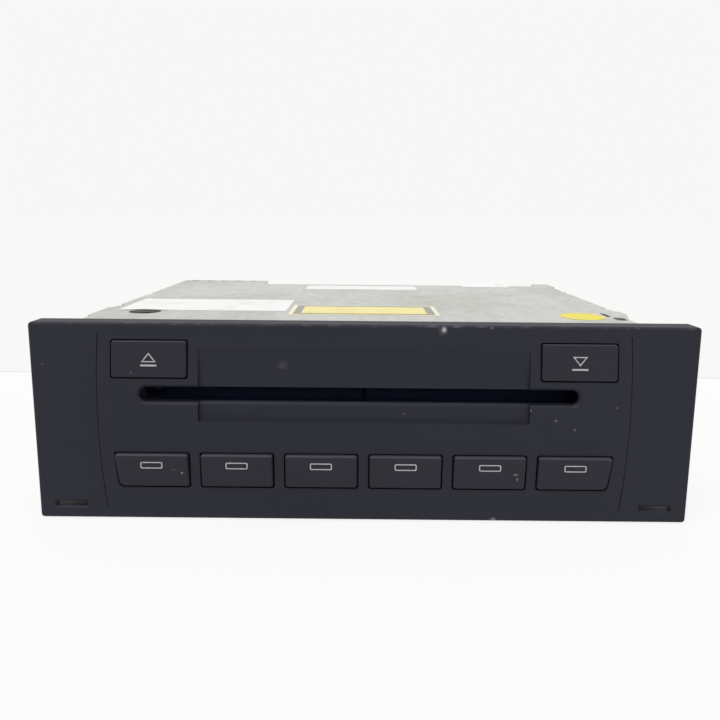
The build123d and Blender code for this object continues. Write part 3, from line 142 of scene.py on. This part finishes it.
# %% One material, one method for its nodes
class Finish:
    """A material that is written as a calculation."""

    def __init__(self, name, owner=None):
        self.material = owner or bpy.data.materials.new(name)
        self.material.use_nodes = True
        self.tree = self.material.node_tree
        self.tree.nodes.clear()

    def node(self, kind, settings=None, inputs=None, output=0):
        made = self.tree.nodes.new(kind)
        for name, value in (settings or {}).items():
            setattr(made, name, value)
        for name, value in (inputs or {}).items():
            if isinstance(value, Reading):
                self.tree.links.new(value.socket, made.inputs[name])
            elif value is not None:
                made.inputs[name].default_value = value
        return Reading(self, made.outputs[output]) if made.outputs else None

    def others(self, reading, *names):
        """More outputs of the node that a reading comes from."""
        return [Reading(self, reading.socket.node.outputs[name]) for name in names]

    def position(self):
        return self.node("ShaderNodeTexCoord", output="Object")

    def split(self, vector):
        """The three numbers of a position."""
        return self.others(self.node("ShaderNodeSeparateXYZ", inputs={0: vector}), *"XYZ")

    def stretched(self, *scale):
        """The position, scaled differently along the three axes."""
        return self.node(
            "ShaderNodeVectorMath", {"operation": "MULTIPLY"}, {0: self.position(), 1: scale}
        )

    def noise(self, per_mm, detail=2.0, vector=None, rough=0.5):
        """Cloudy variation, with about per_mm blotches to the millimetre."""
        return self.node(
            "ShaderNodeTexNoise",
            inputs={
                "Vector": vector or self.position(),
                "Scale": per_mm / MM,
                "Detail": detail,
                "Roughness": rough,
            },
        )

    def between(self, noise, low, high):
        """0 below the first value, 1 above the second, and a straight slope between them."""
        return self.node(
            "ShaderNodeMapRange", inputs={"Value": noise, "From Min": low, "From Max": high}
        )

    def blend(self, share, one, other):
        """The first colour where share is 0, the second where it is 1."""
        first, second = [c if isinstance(c, Reading) else (*c, 1.0) for c in (one, other)]
        return self.node(
            "ShaderNodeMix", {"data_type": "RGBA"}, {0: share, 6: first, 7: second}, output=2
        )

    def shader(self, **inputs):
        """The Principled shader, which takes one colour as three numbers too."""
        names = {name.replace("_", " "): value for name, value in inputs.items()}
        if not isinstance(names["Base Color"], Reading):
            names["Base Color"] = (*names["Base Color"], 1.0)
        return self.node("ShaderNodeBsdfPrincipled", inputs=names)

    def close(self, shader, end="ShaderNodeOutputMaterial"):
        """Make a shader the last word of the finish."""
        self.node(end, inputs={"Surface": shader})
        return self.material

    def surface(self, **inputs):
        """Close the finish with the Principled shader."""
        return self.close(self.shader(**inputs))

    def looked_at(self):
        """1 for rays from the camera, in a reflection or through glass, and 0 for lighting rays."""
        camera_ray = self.node("ShaderNodeLightPath", output="Is Camera Ray")
        mirrored, through = self.others(camera_ray, "Is Glossy Ray", "Is Transmission Ray")
        return (camera_ray + mirrored + through).clamp()

    def relief(self, height, depth_mm, strength=1.0):
        """A Bump node for fine relief."""
        return self.node(
            "ShaderNodeBump",
            inputs={"Height": height, "Distance": depth_mm * MM, "Strength": strength},
            output="Normal",
        )


# %% [markdown]
# ## Small marks of use
#
# A used fascia carries a few pale nicks and rubs. Each mark is an ellipse on the face whose edge is
# made ragged by noise. Their sum is one mask that lightens the plastic.

# %% Marks on the face
def marks(finish, spots, ragged=0.3, grain=2.5, lying=False):
    """A mask of small marks: each spot gives across, up, half width, half height and strength.

    On a lying sheet the second and fourth numbers run from front to back instead of up.
    """
    x, y, z = finish.split(finish.position())
    upward = y if lying else z
    edge = (finish.noise(grain, 3.0) - 0.5) * (4 * ragged)
    total = None
    for across, up, half_width, half_height, strength in spots:
        aside = (x - across * MM) / (half_width * MM)
        above = (upward - up * MM) / (half_height * MM)
        away = (aside * aside + above * above) ** 0.5 + edge
        mark = (1.15 - away).clamp() * strength
        total = mark if total is None else total + mark
    return total.clamp()


# %% [markdown]
# ## Moulded plastic
#
# The fascia and the keys are matt charcoal mouldings with a fine spark-eroded grain. A bump of
# noise at about three grains to the millimetre breaks up the shine, and a faint bloom of dust
# makes the tone a little uneven. The keys are a shade bluer than the frame. Their faces that
# look up, above all the rounded upper edges, are painted lighter as a painted highlight from above.

# %% Fascia and key plastics
FACE_MARKS = (
    (-23.4, 44.6, 1.6, 1.4, 0.07),
    (54.9, 29.5, 0.5, 0.4, 0.30),
    (60.3, 26.9, 0.35, 0.35, 0.30),
    (59.1, 18.8, 0.3, 0.3, 0.30),
    (72.3, 33.4, 0.3, 0.3, 0.30),
    (47.7, 32.4, 0.3, 0.3, 0.35),
    (11.6, 30.7, 0.35, 0.3, 0.22),
    (37.4, 0.6, 1.0, 0.5, 0.50),
    (-91.9, 44.4, 0.3, 0.3, 0.20),
    (22.7, 55.3, 0.75, 0.85, 0.95),
    (22.4, 54.9, 1.5, 1.3, 0.14),
    (19.4, 56.2, 2.2, 0.35, 0.16),
    (26.3, 56.2, 1.6, 0.35, 0.16),
    (33.2, 56.2, 2.0, 0.30, 0.12),
    (36.4, 55.9, 0.5, 0.5, 0.22),
)
KEY_MARKS = (
    (-51.8, 13.7, 0.4, 0.35, 0.55),
    (-54.2, 14.6, 0.9, 0.3, 0.10),
    (43.5, 14.0, 0.8, 0.35, 0.35),
    (44.0, 12.6, 0.35, 0.3, 0.60),
    (-66.4, 42.3, 0.25, 0.25, 0.5),
)
RUB_HEIGHT = 0.7
RUB_BACK = -81.6
RUB_FRONT = -82.4
TOP_STARTS = 54.0
TOP_FULL = 54.5


def moulded(name, colour, bloom, roughness, spots, rubbed_above, wear_and_painted_highlight=0.0):
    """Matt moulded plastic with grain, a bloom of dust, marks of use, rubbed upper edges and a
    painted highlight where it faces up.
    """
    finish = Finish(name)
    grain = finish.noise(3.0, 2.0)
    cloud = finish.between(finish.noise(0.03, 4.0), 0.35, 0.75)
    tone = finish.blend(cloud * 0.6 + grain * 0.25, colour, bloom)
    _, depth, height = finish.split(finish.position())
    front = finish.between(depth, RUB_BACK * MM, RUB_FRONT * MM)
    edge = front * finish.between(height, rubbed_above * MM, (rubbed_above + RUB_HEIGHT) * MM)
    rub = edge * finish.between(finish.noise(0.45, 5.0, rough=0.7), 0.52, 0.70)
    tone = finish.blend(rub * 0.35, tone, (0.16, 0.155, 0.145))
    # Painted highlight: where the surface faces up it is painted lighter and bluer, for the light
    # from above on the keys' rounded upper edges.
    if wear_and_painted_highlight:
        facing_up = finish.split(finish.node("ShaderNodeTexCoord", output="Normal"))[2]
        painted_highlight = finish.between(facing_up, 0.10, 0.75) * wear_and_painted_highlight
        tone = finish.blend(painted_highlight, tone, (0.060, 0.060, 0.085))
    # A nick in the upper edge ends just behind it and doesn't run on over the top
    on_top = finish.between(height, TOP_STARTS * MM, TOP_FULL * MM) * (1 - front)
    tone = finish.blend(marks(finish, spots) * (1 - on_top), tone, (0.46, 0.46, 0.46))
    return finish.surface(
        Base_Color=tone,
        Roughness=roughness + cloud * 0.08,
        Normal=finish.relief(grain, 0.02, 0.5),
        Specular_IOR_Level=0.28,
    )


looks = {}
looks["fascia_plastic"] = moulded(
    "fascia_plastic", (0.0125, 0.0128, 0.0225), (0.0175, 0.0178, 0.0285), 0.55, FACE_MARKS, 55.6
)
looks["key_plastic"] = moulded(
    "key_plastic",
    (0.0140, 0.0135, 0.0232),
    (0.0185, 0.0180, 0.0290),
    0.50,
    KEY_MARKS,
    52.0,
    wear_and_painted_highlight=0.75,
)
print("marks of use:", len(FACE_MARKS) + len(KEY_MARKS))

# %% [markdown]
# ## Galvanised sheet
#
# The box is folded from zinc-coated steel. Zinc freezes in flat crystals, so the sheet shows faint
# angular patches that differ in shine rather than in colour. A Voronoi texture gives the patches.
# Long thin scratches run with the sheet, which stretched noise draws, and dull stains lie over
# both, some of them olive and at fixed places on the cover.

# %% Zinc-coated steel
COVER_STAINS = (
    (57.0, 25.0, 13.0, 12.0, 0.55),
    (30.0, 12.0, 16.0, 7.0, 0.30),
    (-4.0, 35.0, 22.0, 9.0, 0.25),
    (46.0, -29.5, 1.6, 1.5, 0.60),
    (50.0, -12.0, 3.0, 0.8, 0.35),
)


def galvanised(name, colour, dull, stained):
    """Zinc-coated sheet: crystal patches, fine scratches and stains."""
    finish = Finish(name)
    patch = finish.node(
        "ShaderNodeTexVoronoi",
        inputs={"Vector": finish.stretched(1.0, 0.35, 1.0), "Scale": 0.35 / MM},
        output="Color",
    )
    crystal = finish.split(patch)[0]
    along_sheet = finish.stretched(0.06, 2.0, 2.0)
    scratch = finish.between(finish.noise(1.5, 3.0, along_sheet, 0.65), 0.60, 0.72)
    cloudy = finish.stretched(1.0, 0.45, 1.0)
    stain = finish.between(finish.noise(0.022, 4.0, cloudy, 0.55), 0.42, 0.72) * stained
    tone = finish.blend((crystal * 0.25 + stain).clamp(), colour, dull)
    old_stains = marks(finish, COVER_STAINS, ragged=0.35, grain=0.12, lying=True)
    tone = finish.blend(old_stains, tone, (0.45, 0.47, 0.34))
    return finish.surface(
        Base_Color=finish.blend(scratch * 0.25, tone, (0.80, 0.80, 0.79)),
        Metallic=1.0,
        Roughness=(0.30 + crystal * 0.12 + stain * 0.22 - scratch * 0.06),
        Normal=finish.relief(crystal * 0.4 + scratch * 0.3, 0.01, 0.35),
    )


looks["galvanised_steel"] = galvanised(
    "galvanised_steel", (0.61, 0.61, 0.575), (0.47, 0.47, 0.405), 0.7
)

# %% [markdown]
# ## Everything inside
#
# Motors, shafts, trays and boards are seen through the slot or with the lid off. Each gets one
# colour, a touch of variation and the right shine. A table keeps them together: colour, metal or
# not, roughness, and how fine its variation is. The roller shaft and the loader bracket show
# through the ends of the slot, which lie in shade, so their steel gets a dark blue-black: painted
# shade.

# %% Plain finishes from one table
PLAIN = {
    "board_green": ((0.020, 0.120, 0.050), 0.0, 0.35, 0.20),
    "black_parts": ((0.022, 0.022, 0.024), 0.0, 0.45, 0.60),
    "chip_black": ((0.016, 0.016, 0.018), 0.0, 0.55, 1.50),
    "tray_plastic": ((0.085, 0.086, 0.092), 0.0, 0.50, 0.10),
    "felt_black": ((0.006, 0.014, 0.045), 0.0, 0.95, 3.00),
    "screw_steel": ((0.55, 0.55, 0.54), 1.0, 0.32, 0.80),
    "spring_steel": ((0.46, 0.46, 0.46), 1.0, 0.30, 0.50),
    "motor_steel": ((0.56, 0.56, 0.55), 1.0, 0.34, 0.30),
    "brass": ((0.66, 0.48, 0.20), 1.0, 0.33, 0.60),
    "gear_plastic": ((0.74, 0.72, 0.66), 0.0, 0.42, 0.20),
    "roller_rubber": ((0.012, 0.026, 0.080), 0.0, 0.80, 1.50),
    "led_clear": ((0.80, 0.78, 0.68), 0.0, 0.15, 0.50),
    "lens_module": ((0.020, 0.020, 0.032), 0.0, 0.20, 0.50),
    "capacitor_sleeve": ((0.018, 0.020, 0.060), 0.0, 0.30, 0.40),
    "tin_pins": ((0.68, 0.67, 0.62), 1.0, 0.28, 1.00),
    # painted shade: a dark blue-black for steel that lies in the slot's shade
    "painted_shade_steel": ((0.014, 0.028, 0.085), 0.0, 0.85, 0.80),
}


def plain(name, colour, metal, roughness, per_mm):
    """One colour with a little cloudy variation in tone and shine."""
    finish = Finish(name)
    cloud = finish.noise(per_mm, 3.0)
    darker = tuple(0.82 * part for part in colour)
    return finish.surface(
        Base_Color=finish.blend(cloud, darker, colour),
        Metallic=metal,
        Roughness=(roughness - 0.05 + cloud * 0.1),
    )


for name, values in PLAIN.items():
    looks[name] = plain(name, *values)

# The roller shaft and the loader bracket are steel, painted dark as painted shade inside the slot.
SHADED_IN_SLOT = ("roller_shaft", "loader_bracket")
for part in frame["record"]["subparts"]:
    solid = frame["nodes"][part["node"]]
    finish = "painted_shade_steel" if part["node"] in SHADED_IN_SLOT else part["material_slot"]
    solid.data.materials.clear()
    solid.data.materials.append(looks[finish])

# %% [markdown]
# ## Laying flat things on the parts
#
# Key symbols are printed and labels are stuck on, so both follow the surface below them. The helper
# takes a flat mesh drawn straight in front of the part, sends a ray from each corner to the part,
# and leaves the corner a hair above the place where the ray lands.

# %% Lay a flat mesh on a part
def surface_of(node):
    """A part's faces, ready for rays."""
    return BVHTree.FromPolygons(
        [vertex.co.copy() for vertex in frame["nodes"][node].data.vertices],
        [tuple(face.vertices) for face in frame["nodes"][node].data.polygons],
    )


RAY_LEAD = 0.2


def lay(name, corners, faces, node, way, finish, body, lift=0.02, thick=0.02):
    """Make a thin sheet whose corners lie on a part, seen along a direction."""
    below = surface_of(node)
    landed = []
    for corner in corners:
        start = corner - way * RAY_LEAD
        hit = below.ray_cast(start, way)[0]
        landed.append((hit if hit is not None else corner) - way * lift * MM)
    mesh = bpy.data.meshes.new(name)
    mesh.from_pydata([tuple(corner) for corner in landed], [], faces)
    mesh.materials.append(finish)
    made = bpy.data.objects.new(name, mesh)
    bpy.context.scene.collection.objects.link(made)
    solid = made.modifiers.new("thickness", "SOLIDIFY")
    solid.thickness = thick * MM
    solid.offset = 0.0
    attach(made, body)
    return made


def oblong(half_width, half_height):
    """The four corners of a flat oblong about the middle."""
    return [(x * half_width, z * half_height) for x, z in ((-1, -1), (1, -1), (1, 1), (-1, 1))]


INWARD = Vector((0.0, 1.0, 0.0))
DOWN = Vector((0.0, 0.0, -1.0))

# %% [markdown]
# ## Symbols on the keys
#
# The symbols are pad-printed in light grey. Each is an outline of even width, so a helper makes a
# ring between an outer and an inner loop of the same number of corners. The disc keys carry a small
# rounded box, the eject key a triangle over a bar, and the load key the same the other way up.

# %% Print for the key symbols
ink = Finish("key_print")
wear_and_painted_highlight = ink.between(ink.noise(1.2, 4.0), 0.30, 0.62)
key_print = ink.surface(
    Base_Color=ink.blend(wear_and_painted_highlight, (0.33, 0.33, 0.34), (0.50, 0.50, 0.51)), Roughness=0.5
)

SYMBOL_WIDTH = 6.3
SYMBOL_HEIGHT = 1.95
SYMBOL_CORNER = 0.45
SYMBOL_LINE = 0.31
SYMBOL_Z = 15.9
PRINT_DEPTH = -5.0


def rounded_box(width, height, corner, steps=5):
    """Corners of a rounded box about the middle, in millimetres."""
    loop = []
    for turn, (sign_x, sign_z) in enumerate(((1, 1), (-1, 1), (-1, -1), (1, -1))):
        for step in range(steps + 1):
            angle = (turn + step / steps) * pi / 2
            loop.append(
                (
                    sign_x * (width / 2 - corner) + corner * cos(angle),
                    sign_z * (height / 2 - corner) + corner * sin(angle),
                )
            )
    return loop


def ring(outer, inner, middle_x, middle_z):
    """Points and faces of the flat ring between two loops."""
    count = len(outer)
    points = [place(middle_x + x, PRINT_DEPTH, middle_z + z) for x, z in outer + inner]
    faces = [(n, (n + 1) % count, count + (n + 1) % count, count + n) for n in range(count)]
    return points, faces


outer = rounded_box(SYMBOL_WIDTH, SYMBOL_HEIGHT, SYMBOL_CORNER)
inner = rounded_box(
    SYMBOL_WIDTH - 2 * SYMBOL_LINE,
    SYMBOL_HEIGHT - 2 * SYMBOL_LINE,
    SYMBOL_CORNER - SYMBOL_LINE / 2,
)
disc_keys = [f"disc_key_{number}" for number in range(1, 7)]
for key in disc_keys:
    low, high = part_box(key)
    middle = (low.x + high.x) / 2 / MM
    points, faces = ring(outer, inner, middle, SYMBOL_Z)
    lay(f"{key}_symbol", points, faces, key, INWARD, key_print, key)
print("disc key symbols:", len(disc_keys))

# %% [markdown]
# The triangle is drawn the same way: the inner loop is the outer one shrunk towards its middle,
# which keeps the line even on all three sides.

# %% Eject and load symbols
TRIANGLE_HALF = 2.15
TRIANGLE_HEIGHT = 2.75
BAR_HALF = 2.3
BAR_HEIGHT = 0.5
EJECT_ARROW = ("eject_key", -61.4, 46.3, 44.45, 1)
LOAD_ARROW = ("load_key", 61.4, 47.1, 44.3, -1)


def triangle(half, height, line, way):
    """Outer and inner loop of a triangle that points up (way 1) or down (way -1)."""
    outer = [(-half, -way * height / 3), (half, -way * height / 3), (0.0, way * height * 2 / 3)]
    side = (half**2 + height**2) ** 0.5
    inside = half * height / (half + side)
    shrink = (inside - line) / inside
    centre = -way * height / 3 + way * inside
    inner = [(x * shrink, centre + (z - centre) * shrink) for x, z in outer]
    return outer, inner


for key, middle, base, bar_z, way in (EJECT_ARROW, LOAD_ARROW):
    outer, inner = triangle(TRIANGLE_HALF, TRIANGLE_HEIGHT, SYMBOL_LINE, way)
    points, faces = ring(outer, inner, middle, base)
    lay(f"{key}_arrow", points, faces, key, INWARD, key_print, key)
    bar = [
        place(middle + x, PRINT_DEPTH, bar_z + z) for x, z in oblong(BAR_HALF, BAR_HEIGHT / 2)
    ]
    lay(f"{key}_bar", bar, [(0, 1, 2, 3)], key, INWARD, key_print, key)

# %% [markdown]
# ## Labels on the cover
#
# Workshops stick paper on a unit, and here every label is left blank. A sheet of paper is a flat
# grid, laid on the cover by the same rays. The grid has a corner every few millimetres, so the
# front left of the big label can lift where it crosses the round transit hole, and the loose strip
# at the back can stand up a little at its edge.

# %% Paper finishes
def paper(name, colour, shade, gloss):
    """Blank label stock: a little mottled, slightly soiled."""
    finish = Finish(name)
    soil = finish.between(finish.noise(0.12, 5.0), 0.50, 0.75)
    return finish.surface(
        Base_Color=finish.blend(soil, colour, shade),
        Roughness=gloss,
        Normal=finish.relief(finish.noise(1.5, 3.0), 0.03, 0.3),
    )


white_paper = paper("white_paper", (0.93, 0.93, 0.92), (0.80, 0.80, 0.78), 0.6)
cream_film = paper("cream_film", (0.90, 0.86, 0.58), (0.78, 0.74, 0.50), 0.35)
taupe_film = paper("taupe_film", (0.27, 0.24, 0.20), (0.21, 0.19, 0.16), 0.35)
yellow_film = paper("yellow_film", (0.91, 0.80, 0.24), (0.79, 0.68, 0.20), 0.35)
yellow_paper = paper("yellow_paper", (0.86, 0.74, 0.08), (0.70, 0.56, 0.06), 0.55)

# %% Stick a blank label on the cover
PAPER_LIFT = 0.06
PAPER_THICK = 0.08


def sheet_of_paper(name, across, depth, finish, lift=PAPER_LIFT, columns=8, rows=6, curl=None):
    """A label between two places across and two depths. curl(x, d) gives the lift at a place."""
    corners, faces = [], []
    for row in range(rows + 1):
        for column in range(columns + 1):
            x = across[0] + (across[1] - across[0]) * column / columns
            d = depth[0] + (depth[1] - depth[0]) * row / rows
            corners.append(place(x, d, cover_top / MM))
    for row in range(rows):
        for column in range(columns):
            first = row * (columns + 1) + column
            faces.append((first, first + 1, first + columns + 2, first + columns + 1))
    made = lay(name, corners, faces, "top_cover", DOWN, finish, "chassis", lift, PAPER_THICK)
    for vertex in made.data.vertices:
        vertex.co.z = max(vertex.co.z, cover_top + lift * MM)
    if curl:
        for vertex in made.data.vertices:
            vertex.co.z += curl(vertex.co.x / MM, (vertex.co.y - face_y) / MM) * MM
    return made


def lifted_corner(x, depth):
    """The front left of the big label bows up a hair over the hole."""
    reach = max(0.0, 1 - ((x + 75.5) ** 2 + (depth - 46.0) ** 2) ** 0.5 / 12.0)
    return 0.25 * reach**1.5


def loose_edge(x, depth):
    """The strip at the back has come unstuck at its rear edge."""
    return 1.1 * max(0.0, (depth - 145.0) / 5.5) ** 1.5


sheet_of_paper(
    "paper_label",
    (-85.0, -27.0),
    (47.5, 82.0),
    white_paper,
    columns=40,
    rows=22,
    curl=lifted_corner,
)
sheet_of_paper("rear_paper", (46.7, 68.3), (144.5, 150.5), white_paper, curl=loose_edge)
sheet_of_paper("spare_strip", (-26.0, 24.0), (127.0, 143.5), white_paper)
sheet_of_paper("frame_label", (-25.5, 25.5), (38.2, 65.0), cream_film)
sheet_of_paper("label_field", (-24.0, 24.0), (39.9, 63.3), taupe_film, lift=0.13)
sheet_of_paper("label_band", (-21.3, 21.3), (41.2, 60.0), yellow_film, lift=0.20)
print("labels on the cover: 4 sheets and 2 printed fields")

# %% [markdown]
# The inspection dot is a small oval sticker near the right edge. A fan of triangles about its
# middle makes the oval.

# %% Round sticker
DOT_MIDDLE = (73.3, 40.0)
DOT_REACH = (7.2, 9.0)
DOT_CORNERS = 36
dot_corners = [place(*DOT_MIDDLE, cover_top / MM)]
for n in range(DOT_CORNERS):
    angle = 2 * pi * n / DOT_CORNERS
    dot_x = DOT_MIDDLE[0] + DOT_REACH[0] * cos(angle)
    dot_depth = DOT_MIDDLE[1] + DOT_REACH[1] * sin(angle)
    dot_corners.append(place(dot_x, dot_depth, cover_top / MM))
lay(
    "inspection_dot",
    dot_corners,
    [(0, n + 1, (n + 1) % DOT_CORNERS + 1) for n in range(DOT_CORNERS)],
    "top_cover",
    DOWN,
    yellow_paper,
    "chassis",
    PAPER_LIFT,
    PAPER_THICK,
)
print("sticker corners:", len(dot_corners))

# %% [markdown]
# ## Cross recesses
#
# Each cover screw has a cross recess. The real one is a tapered pit, far too small to matter as a
# shape here, so two thin dark bars on the head stand for its shadow.

# %% Recesses in the screw heads
recess = plain("recess_shadow", (0.020, 0.020, 0.020), 0.0, 0.7, 1.0)
screws_low, screws_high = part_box("cover_screws")
SCREW_DEPTHS = (80.0, 142.0)
SCREW_Z = 50.3
ARM_LONG, ARM_SHORT = 1.3, 0.28
for side, label in ((-1, "left"), (1, "right")):
    head_x = (screws_low.x if side < 0 else screws_high.x) / MM
    way = Vector((-side, 0.0, 0.0))
    for depth in SCREW_DEPTHS:
        for *arm, turn in ((ARM_LONG, ARM_SHORT, "level"), (ARM_SHORT, ARM_LONG, "upright")):
            corners = [place(head_x + side, depth + d, SCREW_Z + z) for d, z in oblong(*arm)]
            name = f"recess_{label}_{round(depth)}_{turn}"
            lay(name, corners, [(0, 1, 2, 3)], "cover_screws", way, recess, "chassis", 0.01, 0.01)
print("screw recesses:", 2 * len(SCREW_DEPTHS))

# %% [markdown]
# ## Table top
#
# The unit stands on its fascia's lower edge and the back of its box, which is a little higher, so
# against the unit the table slopes up towards the back by about a degree and a half. The table is
# pale and plain, and a thin line just behind the unit is where it meets the next board. To the
# camera and in reflections it is mostly one even tone, and the rest is a painted board that takes
# the unit's shadow.

# %% Floor
REST_FRONT = 8.6
REST_BACK = 169.2
box_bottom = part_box("bottom_cover")[0].z / MM
rise = box_bottom / (REST_BACK - REST_FRONT)
FLOOR_HALF = 2500.0
TABLE_EDGE = 179.0
SEAM_WIDTH = 1.6
EVENNESS = 0.85
UNDER_PARTS = 0.05

floor_mesh = bpy.data.meshes.new("table_top")
floor_mesh.from_pydata(
    [
        tuple(place(side * FLOOR_HALF, REST_FRONT + along, along * rise - UNDER_PARTS))
        for side, along in ((-1, -FLOOR_HALF), (1, -FLOOR_HALF), (1, FLOOR_HALF), (-1, FLOOR_HALF))
    ],
    [],
    [(0, 1, 2, 3)],
)
floor = bpy.data.objects.new("table_top", floor_mesh)
bpy.context.scene.collection.objects.link(floor)
table = Finish("table_top")
along = table.split(table.position())[1]
seam = place(0.0, TABLE_EDGE, 0.0).y
beyond = table.between(along, seam, seam + SEAM_WIDTH * MM)
joint = beyond * (1 - table.between(along, seam + SEAM_WIDTH * MM, seam + 2 * SEAM_WIDTH * MM))
even = table.blend(beyond, (1.0, 1.0, 0.995), (0.953, 0.953, 0.945))
glow = table.node(
    "ShaderNodeEmission", inputs={"Color": table.blend(joint * 0.6, even, (0.62, 0.62, 0.62))}
)
paint = table.shader(Base_Color=(0.86, 0.86, 0.855), Roughness=0.9, Specular_IOR_Level=0.1)
seen = table.looked_at() * EVENNESS
board = table.node("ShaderNodeMixShader", inputs={0: seen, 1: paint, 2: glow})
floor_mesh.materials.append(table.close(board))
floor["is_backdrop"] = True
print("the table rises", round(1000 * rise, 1), "mm in a metre")

# %% [markdown]
# ## Light
#
# A white room lights the unit evenly, and one soft sun above and in front gives the shadows a
# direction. A sun is used and not a nearby lamp because it lights the whole table alike. The
# world's colour is split by ray: what the camera and shiny metal see is a bright wall, and what
# lights the surfaces is a softer grey.

# %% Room light and lamp
WALL_TONE = 0.93
ROOM_LIGHT = 0.66
SUN_STRENGTH = 1.25
SUN_SPREAD = 28.0
SUN_WAY = (0.25, 0.45, -1.0)

world = bpy.data.worlds.new("white_room")
bpy.context.scene.world = world
room = Finish("white_room", world)
wall, light = [
    room.node("ShaderNodeBackground", inputs={"Color": (tone, tone, tone * 1.005, 1.0)})
    for tone in (WALL_TONE, ROOM_LIGHT)
]
both = room.node("ShaderNodeMixShader", inputs={0: room.looked_at(), 1: light, 2: wall})
room.close(both, "ShaderNodeOutputWorld")

sun_light = bpy.data.lights.new("soft_sun", "SUN")
sun_light.energy = SUN_STRENGTH
sun_light.angle = radians(SUN_SPREAD)
soft_sun = bpy.data.objects.new("soft_sun", sun_light)
bpy.context.scene.collection.objects.link(soft_sun)
soft_sun.rotation_euler = Vector(SUN_WAY).to_track_quat("-Z", "Y").to_euler()
soft_sun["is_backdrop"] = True
print("room light", ROOM_LIGHT, "and one sun of", SUN_STRENGTH)

# %% [markdown]
# ## Camera
#
# The camera stands close, a little above the unit, and looks almost straight at the face. Its place
# and angles come from lining up the straight edges of the real unit. The frame is cropped low, so
# the lens is shifted instead of tilted, which keeps the upright edges upright.

# %% Camera at the photograph's place
CAMERA_PLACE = (-0.95, -217.45, 87.65)
PITCH, YAW, ROLL = 0.0451, -0.0024, -0.0086
LENS = 38.5
SENSOR_WIDTH = 36.0
FRAME_SHIFT = -110 / 720

forward = Vector((sin(YAW) * cos(PITCH), cos(YAW) * cos(PITCH), -sin(PITCH)))
level_right = Vector((cos(YAW), -sin(YAW), 0.0))
level_down = forward.cross(level_right)
right = cos(ROLL) * level_right + sin(ROLL) * level_down
down = cos(ROLL) * level_down - sin(ROLL) * level_right

lens = bpy.data.cameras.new("camera")
lens.lens = LENS
lens.sensor_width = SENSOR_WIDTH
lens.shift_y = FRAME_SHIFT
lens.clip_start = 0.01
camera = bpy.data.objects.new("camera", lens)
bpy.context.scene.collection.objects.link(camera)
camera.matrix_world = Matrix.Translation(place(*CAMERA_PLACE)) @ Matrix(
    (right, -down, -forward)
).transposed().to_4x4()
bpy.context.scene.camera = camera
bpy.context.scene.view_settings.view_transform = "Standard"
print("camera at", [round(1000 * value, 1) for value in camera.location])

# %% [markdown]
# ## Size of the dressed unit
#
# The box of the dressed unit, without the table, is measured and printed in millimetres. The
# dressed unit must not outgrow the CAD box.

# %% Size of the dressed unit
low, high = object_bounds()
print("dressed box in mm:", [round(1000 * size, 1) for size in high - low])
